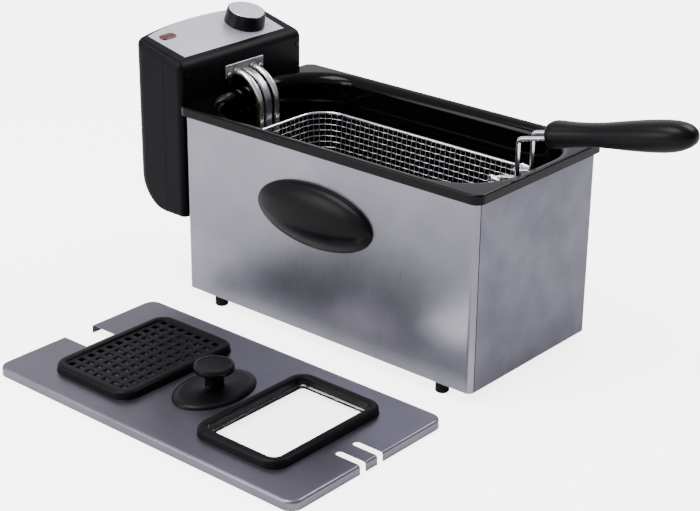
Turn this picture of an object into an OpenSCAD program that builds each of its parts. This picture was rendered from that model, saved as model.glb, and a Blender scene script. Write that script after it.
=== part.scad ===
// Deep fryer with a lift-off control head, a lift-out oil pot, a wire basket and a separate lid.
// The head stands at the -X end, the basket handle points to +X, and the lid lies on the floor
// beside the -Y side. All sizes are in millimetres.

/* [Casing] */
// Length of the steel casing, from the head end to the handle end
casing_l = 370; // [330:1:450]
// Width of the steel casing
casing_w = 190; // [158:1:240]
// Height of the top of the pot's rim above the floor
rim_z = 211.5; // [175:0.5:260]
// Height of the feet below the casing
foot_h = 12; // [9:0.5:18]
// Radius of the feet
foot_r = 6.8; // [5.5:0.1:8.5]
// Distance from the casing's ends to the feet's centres
foot_end_inset = 39; // [30:1:60]
// Thickness of the casing's sheet steel
sheet_t = 0.8; // [0.6:0.1:1.2]
// Radius of the casing's upright corners
casing_corner_r = 6; // [4:0.5:9]
// Width of the seam between the two casing sheets
seam = 1; // [0.6:0.1:1.5]

/* [Side grips] */
// Length of the oval side grips
grip_l = 146; // [110:1:170]
// Height of the oval side grips
grip_h = 66; // [50:1:80]
// How far the grips' hoods stand out of the casing
grip_out = 17; // [12:0.5:22]
// Height of the grips' centres above the floor
grip_z = 139; // [110:1:160]
// Offset of the grips towards the head
grip_shift = 8; // [0:0.5:16]

/* [Oil pot] */
// How far the rim overhangs the casing
rim_over = 5; // [4:0.5:8]
// Height of the rim's turned-down edge
apron_h = 9.5; // [7:0.5:12]
// Thickness of the pot's sheet
pot_t = 1.2; // [0.8:0.1:1.6]
// Radius of the lip that leads from the rim into the pot
lip_r = 11; // [8:0.5:13]
// Radius of the pot's upright corners
pot_corner_r = 60; // [40:1:72]
// Depth of the pot, from the rim to its floor
pot_depth = 173; // [135:1:195]

/* [Heating element] */
// Radius of the element's tube
tube_r = 3.75; // [3:0.05:4.4]
// Distance from the middle to each upright leg of the element
leg_y = 12; // [10:0.5:14]
// Height of the element's tubes above the pot's floor
element_lift = 14; // [10:0.5:20]
// Half the width of the loop that lies in the oil
loop_y = 50; // [38:1:55]

/* [Basket] */
// Width of the basket at its rim
basket_w = 138; // [110:1:150]
// Depth of the basket below its rim
basket_h = 113; // [90:1:120]
// How far the basket's rim hangs below the pot's rim
basket_drop = 35.5; // [30:0.5:60]
// Radius of the basket's rim wire
rim_wire_r = 1.6; // [1.2:0.1:2]
// Radius of the basket's rim corners
basket_corner_r = 30; // [22:1:36]

/* [Basket handle] */
// Radius of the handle's two wires
handle_wire_r = 2.25; // [1.8:0.05:2.6]
// Distance from the middle to each handle wire
handle_wire_y = 11.5; // [9:0.5:13]
// Length of the handle's grip
handle_grip_l = 152; // [120:1:170]
// Angle at which the handle rises
handle_rise = 14; // [8:0.5:18]

/* [Control head] */
// Width of the control head
head_w = 182; // [150:1:200]
// Depth of the control head at its middle
head_d = 79; // [72:1:100]
// Height of the head's underside above the floor
head_z0 = 84; // [70:1:100]
// Slope of the control panel
panel_tilt = 14; // [8:0.5:20]
// Height of the control panel's front edge above the pot's rim
panel_rise = 38.5; // [34:0.5:50]
// Wall of the head's mouldings
head_wall = 2.5; // [2:0.1:3]
// Radius of the control knob at its base
knob_r = 22; // [17:0.5:25]
// Height of the control knob
knob_h = 16; // [12:0.5:20]
// Radius of the thermostat's spindle
spindle_r = 3; // [2.5:0.1:3.5]
// Running clearance of the spindle in its bush
spindle_gap = 0.05; // [0.02:0.01:0.08]
// Radius of the bore that the mains lead leaves by
cord_bore_r = 3.6; // [3:0.1:4.5]

/* [Lid] */
// Height of the lid's turned-down edge
lid_h = 9.3; // [8:0.1:12]
// Gap between the lid's edge and the pot's rim all round
lid_gap = 1.2; // [0.8:0.1:2]
// Thickness of the lid's sheet
lid_t = 0.8; // [0.6:0.1:1.2]
// Distance between the lid and the casing on the floor
lid_away = 44; // [30:1:80]
// Length of the filter and window frames across the lid
frame_l = 150; // [120:1:165]
// Width of the filter and window frames along the lid
frame_w = 106; // [80:1:110]
// Height of the frames above the lid
frame_h = 8; // [6:0.5:10]
// Rows of vent holes across the filter cover
vent_rows = 11; // [7:1:11]
// Columns of vent holes along the filter cover
vent_cols = 7; // [4:1:7]
// Height of the lid's knob above the lid
lid_knob_h = 31; // [24:0.5:38]

/* [Hidden] */

$fn = 48;
eps = 0.01;
arc_steps = 6;
fit = 0.3;

// Casing
hx = casing_l / 2;
hy = casing_w / 2;
rim_hx = hx + rim_over;
rim_hy = hy + rim_over;
rim_corner_r = 10;
sheet_top = rim_z - 5.5;
hem_w = 20;
base_t = 1.2;
foot_y = hy - foot_r - 2.2;
foot_x = hx - foot_end_inset;
screw_r = 2;
screw_gap = 0.2;
nut_r = 4;

// Pot: the lip starts lip_flat inside the rim's edge; the wall hangs lip_r further in
lip_flat = 3;
wall_inset = rim_over - lip_flat - lip_r;
pot_cx = hx + wall_inset - pot_corner_r;
pot_cy = hy + wall_inset - pot_corner_r;
pot_floor = rim_z - pot_depth;
pot_base_r = 18;
pot_draft = 3;

// Head and its panel
face_x = -(rim_hx + 3);
panel_z0 = rim_z + panel_rise;
side_d = head_d - 12;
bow_r = (pow(head_w / 2, 2) + pow(head_d - side_d, 2)) / 2 / (head_d - side_d);
head_corner_r = 14;
parting_x = face_x - 26;
knob_x = face_x - 39;
knob_y = 42;
plate_t = 1;
spindle_len = knob_h + 6;
hatch_y = 16;

// Head rail, a T section that stands out of the casing's end
rail_z0 = head_z0 + 20;
rail_z1 = rim_z - 32;
rail_stem_w = 24;
rail_w = 40;
rail_t = 4;
rail_gap = 0.6;
rail_lip = 2.5;

// Element
tube_out_z = rim_z + 15;
leg_bend = 33;
plate_d = 2;
leg_x = face_x + plate_d + leg_bend;
loop_z = pot_floor + element_lift;
low_bend = 20;
turn_r = 15;

// Basket
basket_x0 = leg_x + tube_r + 9;
basket_x1 = hx - 25;
basket_cx = (basket_x0 + basket_x1) / 2;
basket_hx = (basket_x1 - basket_x0) / 2;
basket_hy = basket_w / 2;
basket_z = rim_z - basket_drop;
basket_draft = 10;
mesh_t = 2;
bracket_y = 23.6;
bracket_r = 1.5;
hinge_x = basket_x1 - 14;
hinge_z = basket_z + 18.5;
eye_r = handle_wire_r + 0.35 + bracket_r;

// Handle
handle_leg_x = hx - 17.5;
handle_top_z = rim_z + 26;
grip_x0 = handle_leg_x + 29;
grip_z0 = handle_top_z + (grip_x0 - handle_leg_x) * tan(handle_rise);
handle_end_x = grip_x0 + handle_grip_l * cos(handle_rise);

// Lid, lying on the floor
lid_hx = rim_hx + lid_gap + lid_t;
lid_hy = rim_hy + lid_gap + lid_t;
lid_corner_r = rim_corner_r + 2;
lid_x = -2.3;
lid_y = -(hy + lid_away + lid_hy);
lid_top = lid_h;
panel_off = 94.5;
notch_w = 37.4;
notch_l = lid_hx + face_x + 35;
slot_w = 8;
slot_x = handle_leg_x - handle_wire_r - 0.75;
vent_pitch = 12;
vent_size = 6;

// The origin is the middle of the whole set's footprint on the floor
gland_out = 3;
set_x = (handle_end_x + face_x - head_d - gland_out) / 2;
set_y = (lid_y - lid_hy + hy + grip_out) / 2;

steel = [0.62, 0.62, 0.65];
bright = [0.8, 0.8, 0.82];
black = [0.1, 0.1, 0.11];

// ---------- helpers ----------
function unit(v) = v / norm(v);
function turn(a) = a > 180 ? a - 360 : a < -180 ? a + 360 : a;
// points of the arc that rounds corner p1 of a polygon
function round_corner(p0, p1, p2, r) =
    let (a = unit(p0 - p1), b = unit(p2 - p1), half = acos(a * b) / 2,
        c = p1 + unit(a + b) * r / sin(half),
        s = p1 + a * r / tan(half), e = p1 + b * r / tan(half),
        a0 = atan2(s[1] - c[1], s[0] - c[0]),
        d = turn(atan2(e[1] - c[1], e[0] - c[0]) - a0))
    [for (i = [0 : arc_steps]) c + r * [cos(a0 + d * i / arc_steps), sin(a0 + d * i / arc_steps)]];
// polygon p with each corner i rounded by r[i]; 0 leaves it sharp
function rounded(p, r) = [for (i = [0 : len(p) - 1])
    each r[i] == 0 ? [p[i]]
        : round_corner(p[(i + len(p) - 1) % len(p)], p[i], p[(i + 1) % len(p)], r[i])];
// points on a circle's arc
function arc(c, r, a0, a1) = [for (i = [0 : arc_steps])
    let (a = a0 + (a1 - a0) * i / arc_steps) c + r * [cos(a), sin(a)]];

// rectangle centred on the origin, with half sizes a and b and round corners
module rrect(a, b, r) {
    square([2 * (a - r), 2 * b], center = true);
    square([2 * a, 2 * (b - r)], center = true);
    for (x = [-1, 1], y = [-1, 1]) translate([x * (a - r), y * (b - r)]) circle(r);
}

// flat ring between two round-cornered rectangles
module ring(a, b, r, a2, b2, r2, z0, z1) {
    translate([0, 0, z0]) linear_extrude(z1 - z0) difference() {
        rrect(a, b, r);
        rrect(a2, b2, r2);
    }
}

// sweeps a profile round a rectangle whose corners' centres are at (+-cx, +-cy);
// the profile's x is the distance outwards from those centres, its y is the height
module sweep(cx, cy, profile) {
    for (k = [0 : 3]) {
        sx = (k == 0 || k == 3) ? 1 : -1;
        sy = k < 2 ? 1 : -1;
        translate([sx * cx, sy * cy, 0]) rotate([0, 0, 90 * k])
            rotate_extrude(angle = 90) polygon(profile);
    }
    for (s = [0, 180]) rotate([0, 0, s]) {
        translate([-cx, cy, 0]) rotate([90, 0, 90]) linear_extrude(2 * cx) polygon(profile);
        translate([cx, cy, 0]) rotate([90, 0, 0]) linear_extrude(2 * cy) polygon(profile);
    }
}

// round bar from p to q
module bar(p, q, r) {
    d = q - p;
    translate(p) rotate([0, acos(d[2] / norm(d)), atan2(d[1], d[0])]) cylinder(r = r, h = norm(d));
}

// bars through a list of points, with a slightly larger ball at each inner point
module bent_bar(points, r) {
    ball = 0.05;
    for (i = [0 : len(points) - 2]) bar(points[i], points[i + 1], r);
    if (len(points) > 2) for (i = [1 : len(points) - 2]) translate(points[i]) sphere(r + ball);
}

// quarter bend of a round bar about the local Z axis, from angle a to a + 90
module bend(r_path, r, a) {
    rotate([0, 0, a]) rotate_extrude(angle = 90) translate([r_path, 0]) circle(r);
}

module hex(r, h) { cylinder(r = r, h = h, $fn = 6); }

// pan-headed screw along +Z with its head's underside at z = 0
module pan_screw(r, l, head_r, head_h) {
    difference() {
        union() {
            translate([0, 0, -l]) cylinder(r = r, h = l + eps);
            cylinder(r = head_r, h = head_h);
        }
        for (a = [0, 90]) rotate([0, 0, a])
            translate([-head_r * 0.6, -0.4, head_h - 0.8]) cube([head_r * 1.2, 0.8, 1]);
    }
}

module placed() { translate([-set_x, -set_y, 0]) children(); }
module on_lid() { placed() translate([lid_x, lid_y, 0]) children(); }
// children stand on the sloped panel at plan position (x, y)
module on_panel(x, y) {
    translate([x, y, panel_z0 + (face_x - x) * tan(panel_tilt)])
        rotate([0, panel_tilt, 0]) children();
}
module at_feet() { for (x = [-1, 1], y = [-1, 1]) translate([x * foot_x, y * foot_y, 0]) children(); }

// ---------- casing ----------
// plan region that belongs to the sheet with the -Y side and the -X end
module sheet_region() {
    polygon([[-hx - 1, -hy - 1], [hx + 1, -hy - 1], [hx + 1, -hy + casing_corner_r - seam / 2],
        [hx - casing_corner_r, -hy + casing_corner_r - seam / 2],
        [hx - hem_w - 6, -hy + hem_w + 6 - seam / 2],
        [-hx + hem_w + 6, hy - hem_w - 6 - seam / 2],
        [-hx + casing_corner_r, hy - casing_corner_r - seam / 2],
        [-hx - 1, hy - casing_corner_r - seam / 2]]);
}

module casing_sheet() {
    translate([0, 0, foot_h]) {
        linear_extrude(sheet_top - foot_h) intersection() {
            difference() {
                rrect(hx, hy, casing_corner_r);
                rrect(hx - sheet_t, hy - sheet_t, casing_corner_r - sheet_t);
            }
            sheet_region();
        }
        linear_extrude(sheet_t) intersection() {
            difference() {
                rrect(hx - sheet_t / 2, hy - sheet_t / 2, casing_corner_r - sheet_t / 2);
                rrect(hx - hem_w, hy - hem_w, 2);
            }
            sheet_region();
        }
    }
}

module foot_holes() {
    at_feet() translate([0, 0, foot_h - 1]) cylinder(r = screw_r + screw_gap, h = 6);
}

// opening in a casing side for the grip's finger cup, and its two screw holes
module grip_cuts(side) {
    translate([-grip_shift, side * hy, grip_z]) {
        rotate([90, 0, 0]) translate([0, cup_dz, -10]) linear_extrude(20)
            rrect(cup_a + fit, cup_b + fit, cup_b + fit - 0.5);
        for (s = [-1, 1]) translate([s * grip_screw_x, 0, 0]) rotate([90, 0, 0])
            cylinder(r = screw_r + screw_gap, h = 20, center = true);
    }
}

module rail_holes(r) {
    for (z = [rail_z0 + 18, rail_z1 - 18]) translate([-hx, 0, z]) rotate([0, 90, 0])
        cylinder(r = r, h = 30, center = true);
}

module left_casing_sheet() {
    color(steel) placed() difference() {
        casing_sheet();
        foot_holes();
        grip_cuts(-1);
        rail_holes(screw_r + screw_gap);
    }
}

module front_casing_sheet() {
    color(steel) placed() difference() {
        rotate([0, 0, 180]) casing_sheet();
        foot_holes();
        grip_cuts(1);
    }
}

module base_plate() {
    gap = 0.4;
    a = hx - sheet_t - gap;
    b = hy - sheet_t - gap;
    r = casing_corner_r - sheet_t - gap;
    color(steel) placed() difference() {
        union() {
            translate([0, 0, foot_h + sheet_t]) linear_extrude(base_t) rrect(a, b, r);
            ring(a, b, r, a - base_t, b - base_t, max(r - base_t, 0.5),
                foot_h + sheet_t, foot_h + sheet_t + 12);
        }
        foot_holes();
        for (x = [-70 : 14 : 70]) translate([x - 2, -32, foot_h]) cube([4, 64, 6]);
    }
}

module feet() {
    color(black) placed() at_feet() difference() {
        cylinder(r = foot_r, h = foot_h);
        translate([0, 0, -eps]) cylinder(r = screw_r + 2, h = foot_h / 2 + eps);
        cylinder(r = screw_r + screw_gap, h = foot_h + 1);
    }
}

module foot_screws() {
    color(bright) placed() at_feet() translate([0, 0, foot_h / 2]) rotate([180, 0, 0])
        pan_screw(screw_r, foot_h / 2 + sheet_t + base_t + 6, screw_r + 1.7, 1.8);
}

module foot_nuts() {
    color(bright) placed() at_feet() translate([0, 0, foot_h + sheet_t + base_t]) difference() {
        hex(nut_r, 3.2);
        translate([0, 0, -1]) cylinder(r = screw_r + 0.05, h = 6);
    }
}

module rim_frame() {
    inner_x = hx - 4.5;
    inner_y = hy - 4.5;
    inner_r = 2.5;
    tongue = 16;
    gap_x = rim_hx - pot_t - fit;
    gap_y = rim_hy - pot_t - fit;
    gap_r = rim_corner_r - pot_t - fit;
    color(black) placed() {
        // tongue inside the sheets, ledge over their edge, and a low wall under the pot's rim
        ring(hx - sheet_t - fit, hy - sheet_t - fit, casing_corner_r - sheet_t - fit,
            inner_x, inner_y, inner_r, sheet_top - tongue, sheet_top + eps);
        ring(gap_x, gap_y, gap_r, inner_x, inner_y, inner_r, sheet_top, sheet_top + pot_t);
        ring(gap_x, gap_y, gap_r, rim_hx - lip_flat, rim_hy - lip_flat, rim_corner_r - lip_flat,
            sheet_top, rim_z - pot_t);
    }
}

// ---------- side grips ----------
// The hood is a spindle turned about an axis behind the casing wall, grip_back inside it.
grip_a = grip_l / 2;
grip_b = grip_h / 2;
grip_back = (pow(grip_b, 2) / grip_out - grip_out) / 2;
grip_bow = (pow(grip_a, 2) + pow(grip_out, 2)) / 2 / grip_out;
grip_wall = 2.6;
grip_screw_x = grip_a - 11;
cup_a = grip_a - 19;
cup_b = 20;
cup_dz = -4;
cup_depth = 6.5;
// spindle's radius at a distance x from the grip's middle
function spindle(x) = grip_back + grip_out - grip_bow + sqrt(pow(grip_bow, 2) - x * x);
function spindle_profile(a, g) = concat([[0, -a]],
    [for (i = [-10 : 10]) [spindle(a * i / 10) - g, a * i / 10]], [[0, a]]);
// the grip's outline on the casing wall
function grip_outline() = let (up = [for (i = [-12 : 12])
        let (x = (grip_a - 0.4) * sin(7.5 * i)) [x, sqrt(pow(spindle(x), 2) - pow(grip_back, 2))]])
    concat(up, [for (i = [len(up) - 1 : -1 : 0]) [up[i][0], -up[i][1]]]);

module spindle_body(a, g) {
    translate([0, grip_back, 0]) rotate([0, 90, 0]) rotate_extrude() polygon(spindle_profile(a, g));
}

module side_grip() {
    flange_t = 1.6;
    hood_z0 = -2;
    translate([-grip_shift, -hy, grip_z]) difference() {
        union() {
            rotate([90, 0, 0]) linear_extrude(flange_t) polygon(grip_outline());
            intersection() {
                spindle_body(grip_a - 1, 0.6);
                translate([-grip_l, -3 * grip_out, hood_z0])
                    cube([2 * grip_l, 3 * grip_out, grip_h]);
            }
            translate([0, cup_depth, cup_dz]) rotate([90, 0, 0]) linear_extrude(cup_depth + eps)
                rrect(cup_a, cup_b, cup_b - 0.5);
        }
        // finger room in the cup and behind the hood, open below
        intersection() {
            spindle_body(cup_a - 1, grip_wall);
            translate([-grip_l, -3 * grip_out, -grip_h])
                cube([2 * grip_l, 3 * grip_out + 1, 2 * grip_h]);
        }
        translate([0, cup_depth - 1.6, cup_dz]) rotate([90, 0, 0]) linear_extrude(cup_depth + 3)
            rrect(cup_a - 1.6, cup_b - 1.6, cup_b - 2.1);
        for (s = [-1, 1]) translate([s * grip_screw_x, 1, 0]) rotate([90, 0, 0])
            cylinder(r = screw_r + 0.05, h = 4.2);
    }
}

module left_grip() { color(black) placed() side_grip(); }
module right_grip() { color(black) placed() mirror([0, 1, 0]) side_grip(); }

module grip_screws() {
    color(bright) placed() for (side = [0, 1]) mirror([0, side, 0])
        for (s = [-1, 1]) translate([-grip_shift + s * grip_screw_x, -hy + sheet_t, grip_z])
            rotate([-90, 0, 0]) pan_screw(screw_r, sheet_t + 2.8, screw_r + 1.8, 1.8);
}

// ---------- head rail ----------
module head_rail() {
    tab_w = 6;
    color(black) placed() difference() {
        union() {
            translate([face_x - rail_lip - rail_gap - eps, -rail_stem_w / 2, rail_z0])
                cube([-hx - face_x + rail_lip + rail_gap, rail_stem_w, rail_z1 - rail_z0]);
            translate([face_x - rail_lip - rail_gap - rail_t, -rail_w / 2, rail_z0])
                cube([rail_t, rail_w, rail_z1 - rail_z0]);
            translate([face_x - rail_lip - rail_gap - rail_t, -tab_w / 2, rail_z1 - eps])
                cube([2, tab_w, 9]);
        }
        for (z = [rail_z0 + 18, rail_z1 - 18]) translate([-hx - 40, 0, z]) rotate([0, 90, 0])
            cylinder(r = screw_r + screw_gap, h = 60);
        for (z = [rail_z0 + 18, rail_z1 - 18]) translate([-hx - 60, 0, z]) rotate([0, 90, 0])
            cylinder(r = screw_r + 2.2, h = 60 - 7);
    }
}

module rail_screws() {
    color(bright) placed() for (z = [rail_z0 + 18, rail_z1 - 18])
        translate([-hx - 7, 0, z]) rotate([0, -90, 0]) pan_screw(screw_r, 11, screw_r + 1.8, 1.8);
}

// ---------- oil pot ----------
module oil_pot() {
    in_r = lip_r;
    out_r = lip_r - pot_t;
    s0 = pot_corner_r + lip_r;
    base_s = pot_corner_r - pot_draft;
    color([0.08, 0.08, 0.09]) placed() {
        // rim plate and its turned-down edge
        ring(rim_hx, rim_hy, rim_corner_r, pot_cx + s0, pot_cy + s0, s0, rim_z - pot_t, rim_z);
        ring(rim_hx, rim_hy, rim_corner_r, rim_hx - pot_t, rim_hy - pot_t, rim_corner_r - pot_t,
            rim_z - apron_h, rim_z - pot_t + eps);
        // lip, wall and floor
        sweep(pot_cx, pot_cy, concat(
            [[s0 + 0.4, rim_z - pot_t], [s0 + 0.4, rim_z]],
            arc([s0, rim_z - lip_r], in_r, 90, 180),
            arc([base_s - pot_base_r, pot_floor + pot_base_r], pot_base_r, 0, -90),
            [[0, pot_floor], [0, pot_floor - pot_t]],
            arc([base_s - pot_base_r, pot_floor + pot_base_r], pot_base_r + pot_t, -90, 0),
            arc([s0, rim_z - lip_r], out_r, 180, 90)));
        translate([0, 0, pot_floor - pot_t]) linear_extrude(pot_t)
            square([2 * pot_cx + 2 * eps, 2 * pot_cy + 2 * eps], center = true);
    }
}

// ---------- control head ----------
// outer form of the head, shrunk by i on every side
module head_form(i) {
    slope = tan(panel_tilt);
    x1 = face_x - i;
    x0 = face_x - head_d + i;
    top = panel_z0 - i / cos(panel_tilt);
    z0 = head_z0 + i;
    hw = head_w / 2 - i;
    r = head_corner_r - i;
    intersection() {
        translate([0, hw, 0]) rotate([90, 0, 0]) linear_extrude(2 * hw)
            polygon(rounded([[x1, z0], [x1, top + (face_x - x1) * slope],
                [x0, top + (face_x - x0) * slope], [x0, z0]], [max(4 - i, 0.5), 9 - i, 11 - i, 36 - i]));
        translate([0, 0, z0 - 5]) linear_extrude(panel_z0 + 60) intersection() {
            polygon(rounded([[x1, -hw], [x1, hw], [x0 - 20, hw], [x0 - 20, -hw]], [6 - i, 6 - i, 0, 0]));
            translate([x0 + bow_r - i, 0]) circle(bow_r - i, $fn = 200);
            polygon(rounded([[x1 + 30, -hw], [x1 + 30, hw],
                [x0 + head_d - side_d - 6, hw], [x0 - 18, 0], [x0 + head_d - side_d - 6, -hw]],
                [0, 0, r, 0, r]));
        }
    }
}

// room for the rail inside the front cover, grown by g
module rail_room(g) {
    w = rail_w + 2 * rail_gap;
    d = rail_t + 2 * rail_gap;
    translate([face_x - rail_lip - d - g, -w / 2 - g, head_z0 - 1])
        cube([d + g, w + 2 * g, rail_z1 - head_z0 + 1 + rail_gap + g]);
}

// screws that hold the front cover to the rear shell
module at_cover_screws() {
    for (y = [-1, 1], z = [head_z0 + 18, rim_z + 25]) translate([face_x, y * (head_w / 2 - 9), z])
        rotate([0, 90, 0]) children();
}

module head_shell_cuts() {
    // recess and holes in the panel
    on_panel(face_x, 0) translate([0, 0, -plate_t]) linear_extrude(5) plate_outline(0.15);
    on_panel(knob_x, knob_y) translate([0, 0, -10]) cylinder(r = 5.2, h = 20);
    on_panel(lens_x, lens_y) translate([0, 0, -10]) linear_extrude(20) lens_outline(0.15);
}
lens_x = face_x - 52;
lens_y = -58;

module lens_outline(g) {
    rrect(4.8 + g, 10.5 + g, 4.7 + g);
}

// outline of the silver plate in the panel's own plane, with a bowed rear edge, grown by g
module plate_outline(g) {
    front = -11 + g;
    side_x = -64 - g;
    bow = 11;
    wf = 73.5 + g;
    wr = 76 + g;
    r_bow = (wr * wr + bow * bow) / 2 / bow;
    intersection() {
        polygon([[front, -wf], [front, wf], [side_x, wr], [side_x - bow - 2, wr],
            [side_x - bow - 2, -wr], [side_x, -wr]]);
        translate([side_x - bow + r_bow, 0]) circle(r_bow, $fn = 200);
    }
}

module head_rear_shell() {
    color(black) placed() difference() {
        intersection() {
            difference() { head_form(0); head_form(head_wall); }
            translate([parting_x - 200, -200, 0]) cube([200, 400, 400]);
        }
        head_shell_cuts();
        // cord gland, reset button
        translate([face_x - head_d - 5, 0, gland_z]) rotate([0, 90, 0]) cylinder(r = gland_r + 0.1, h = 12);
        translate([face_x - head_d - 5, reset_y, reset_z]) rotate([0, 90, 0]) cylinder(r = reset_r + fit, h = 14);
    }
}
gland_r = cord_bore_r + 2.4;
gland_z = head_z0 + 44;
reset_r = 5;
reset_y = -45;
reset_z = head_z0 + 74;

module head_front_cover() {
    color(black) placed() difference() {
        union() {
            intersection() {
                difference() { head_form(0); head_form(head_wall); }
                translate([parting_x, -200, 0]) cube([200, 400, 400]);
            }
            intersection() {
                rail_room(2);
                translate([face_x - 40, -100, head_z0]) cube([40 - 1, 200, 300]);
            }
            // bosses for the cover screws
            at_cover_screws() translate([0, 0, -16]) cylinder(r = 4.6, h = 15);
        }
        rail_room(0);
        // slot for the rail's stem and the hole for its tab
        translate([face_x - rail_lip - rail_gap - 1, -rail_stem_w / 2 - rail_gap, head_z0 - 1])
            cube([rail_lip + 5, rail_stem_w + 2 * rail_gap, rail_z1 - head_z0 + 1 + rail_gap]);
        translate([face_x - rail_lip - rail_gap - rail_t - 1.2, -4.5, rail_z1 - 1]) cube([4.2, 9, 12]);
        head_shell_cuts();
        at_cover_screws() translate([0, 0, -17]) cylinder(r = 1.55, h = 40);
        at_cover_screws() translate([0, 0, -1.6]) cylinder(r = 3.4, h = 5);
        // element and sensor leave through the face
        for (y = [-1, 1]) translate([face_x - 10, y * leg_y, tube_out_z]) rotate([0, 90, 0])
            cylinder(r = tube_r + 0.6, h = 20);
        translate([face_x - 10, -sensor_w / 2 - 0.5, tube_out_z - sensor_t / 2 - 0.5])
            cube([20, sensor_w + 1, sensor_t + 1]);
        at_element_screws() translate([0, 0, -9]) cylinder(r = 1.55, h = 20);
    }
}

module cover_screws() {
    color(bright) placed() at_cover_screws() translate([0, 0, -1.6]) pan_screw(1.5, 12, 2.8, 1.4);
}

module control_plate() {
    color(bright) placed() difference() {
        on_panel(face_x, 0) translate([0, 0, -plate_t + 0.02]) linear_extrude(plate_t) plate_outline(0);
        on_panel(knob_x, knob_y) translate([0, 0, -10]) cylinder(r = 5.2, h = 20);
        on_panel(lens_x, lens_y) translate([0, 0, -10]) linear_extrude(20) lens_outline(0.15);
    }
}

module indicator_lens() {
    color([0.42, 0.25, 0.24]) placed() on_panel(lens_x, lens_y) {
        translate([0, 0, -head_wall - 3]) linear_extrude(head_wall + 4.2) lens_outline(0);
    }
}

module indicator_lamp() {
    lamp_r = 3.2;
    lamp_l = 17;
    color([0.8, 0.4, 0.2]) placed() on_panel(lens_x, lens_y) translate([0, 0, -head_wall - 24]) {
        cylinder(r = lamp_r, h = lamp_l);
        translate([0, 0, lamp_l]) sphere(lamp_r);
    }
}

module thermostat() {
    depth = head_wall + 4;
    color([0.75, 0.72, 0.65]) placed() on_panel(knob_x, knob_y) difference() {
        union() {
            translate([-17, -22, -depth - 22]) cube([34, 44, 22]);
            translate([0, 0, -depth - eps]) cylinder(r = 5, h = depth - 0.2);
        }
        translate([0, 0, -depth - 14]) cylinder(r = spindle_r + spindle_gap, h = 40);
    }
}

module thermostat_spindle() {
    depth = head_wall + 4;
    color(bright) placed() on_panel(knob_x, knob_y) translate([0, 0, -depth - 13])
        cylinder(r = spindle_r, h = depth + 13 + knob_h - 4);
}

module control_knob() {
    lift = 0.6;
    color(black) placed() on_panel(knob_x, knob_y) difference() {
        translate([0, 0, lift]) rotate_extrude($fn = 96) polygon(concat([[0, 0], [knob_r, 0]],
            round_corner([knob_r, 0], [knob_r - 1.5, knob_h - lift], [0, knob_h - lift], 1.6),
            [[0, knob_h - lift]]));
        translate([0, 0, knob_h - 0.8]) cylinder(r = knob_r - 2.8, h = 4);
        cylinder(r = spindle_r + 0.02, h = knob_h - 4 + 0.2);
        translate([0, 0, -1]) difference() {
            cylinder(r = knob_r - 3, h = knob_h - 4);
            cylinder(r = spindle_r + 2.6, h = knob_h);
        }
    }
}

module knob_insert() {
    color(bright) placed() on_panel(knob_x, knob_y) translate([0, 0, knob_h - 0.8])
        cylinder(r = knob_r - 2.9, h = 0.9, $fn = 96);
}

module thermal_cutout() {
    rear = face_x - head_d;
    color([0.3, 0.3, 0.32]) placed() translate([rear + 15, reset_y - 11, reset_z - 11])
        cube([16, 22, 22]);
}

module reset_button() {
    // depth of the bowed rear wall at the button
    rear = face_x - head_d + pow(reset_y, 2) / 2 / bow_r;
    color([0.55, 0.08, 0.07]) placed() translate([rear - 2.4, reset_y, reset_z]) rotate([0, 90, 0])
        cylinder(r = reset_r, h = 9);
}

module interlock_switch() {
    color([0.35, 0.3, 0.3]) placed() translate([face_x - 24, -10, rail_z1 + 9.6]) cube([18, 20, 12]);
}

module terminal_block() {
    color([0.85, 0.85, 0.82]) placed() difference() {
        translate([face_x - 60, 18, head_z0 + 22]) cube([24, 42, 16]);
        for (i = [0 : 2]) translate([face_x - 48, 25 + 14 * i, head_z0 + 30]) cylinder(r = 2, h = 20);
    }
}

module cord_gland() {
    color(black) placed() translate([face_x - head_d, 0, gland_z]) rotate([0, 90, 0]) difference() {
        union() {
            translate([0, 0, -gland_out]) cylinder(r = gland_r, h = gland_out + head_wall + 9);
            translate([0, 0, -gland_out]) cylinder(r = gland_r + 2, h = gland_out - 0.1);
            translate([0, 0, head_wall + 1.2]) cylinder(r = gland_r + 2, h = 2.4);
        }
        translate([0, 0, -gland_out - 1]) cylinder(r = cord_bore_r, h = 40);
    }
}

// ---------- element ----------
sensor_w = 9;
sensor_t = 2.4;
plate_w = 56;
plate_h = 14;
plate_z = tube_out_z + 2.5;

module at_element_screws() {
    for (y = [-1, 1]) translate([face_x + plate_d, y * (plate_w / 2 - 5), plate_z - plate_h / 2 + 3.5])
        rotate([0, 90, 0]) children();
}

module element_plate() {
    color(bright) placed() difference() {
        translate([face_x + eps, -plate_w / 2, plate_z - plate_h / 2]) cube([plate_d, plate_w, plate_h]);
        for (y = [-1, 1]) translate([face_x - 5, y * leg_y, tube_out_z]) rotate([0, 90, 0])
            cylinder(r = tube_r + 0.05, h = 20);
        translate([face_x - 5, -sensor_w / 2 - 0.1, tube_out_z - sensor_t / 2 - 0.1])
            cube([20, sensor_w + 0.2, sensor_t + 0.2]);
        at_element_screws() translate([0, 0, -9]) cylinder(r = 1.7, h = 20);
    }
}

module element_screws() {
    color(bright) placed() at_element_screws() translate([0, 0, 0.05]) pan_screw(1.5, 8, 2.9, 1.6);
}

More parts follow.
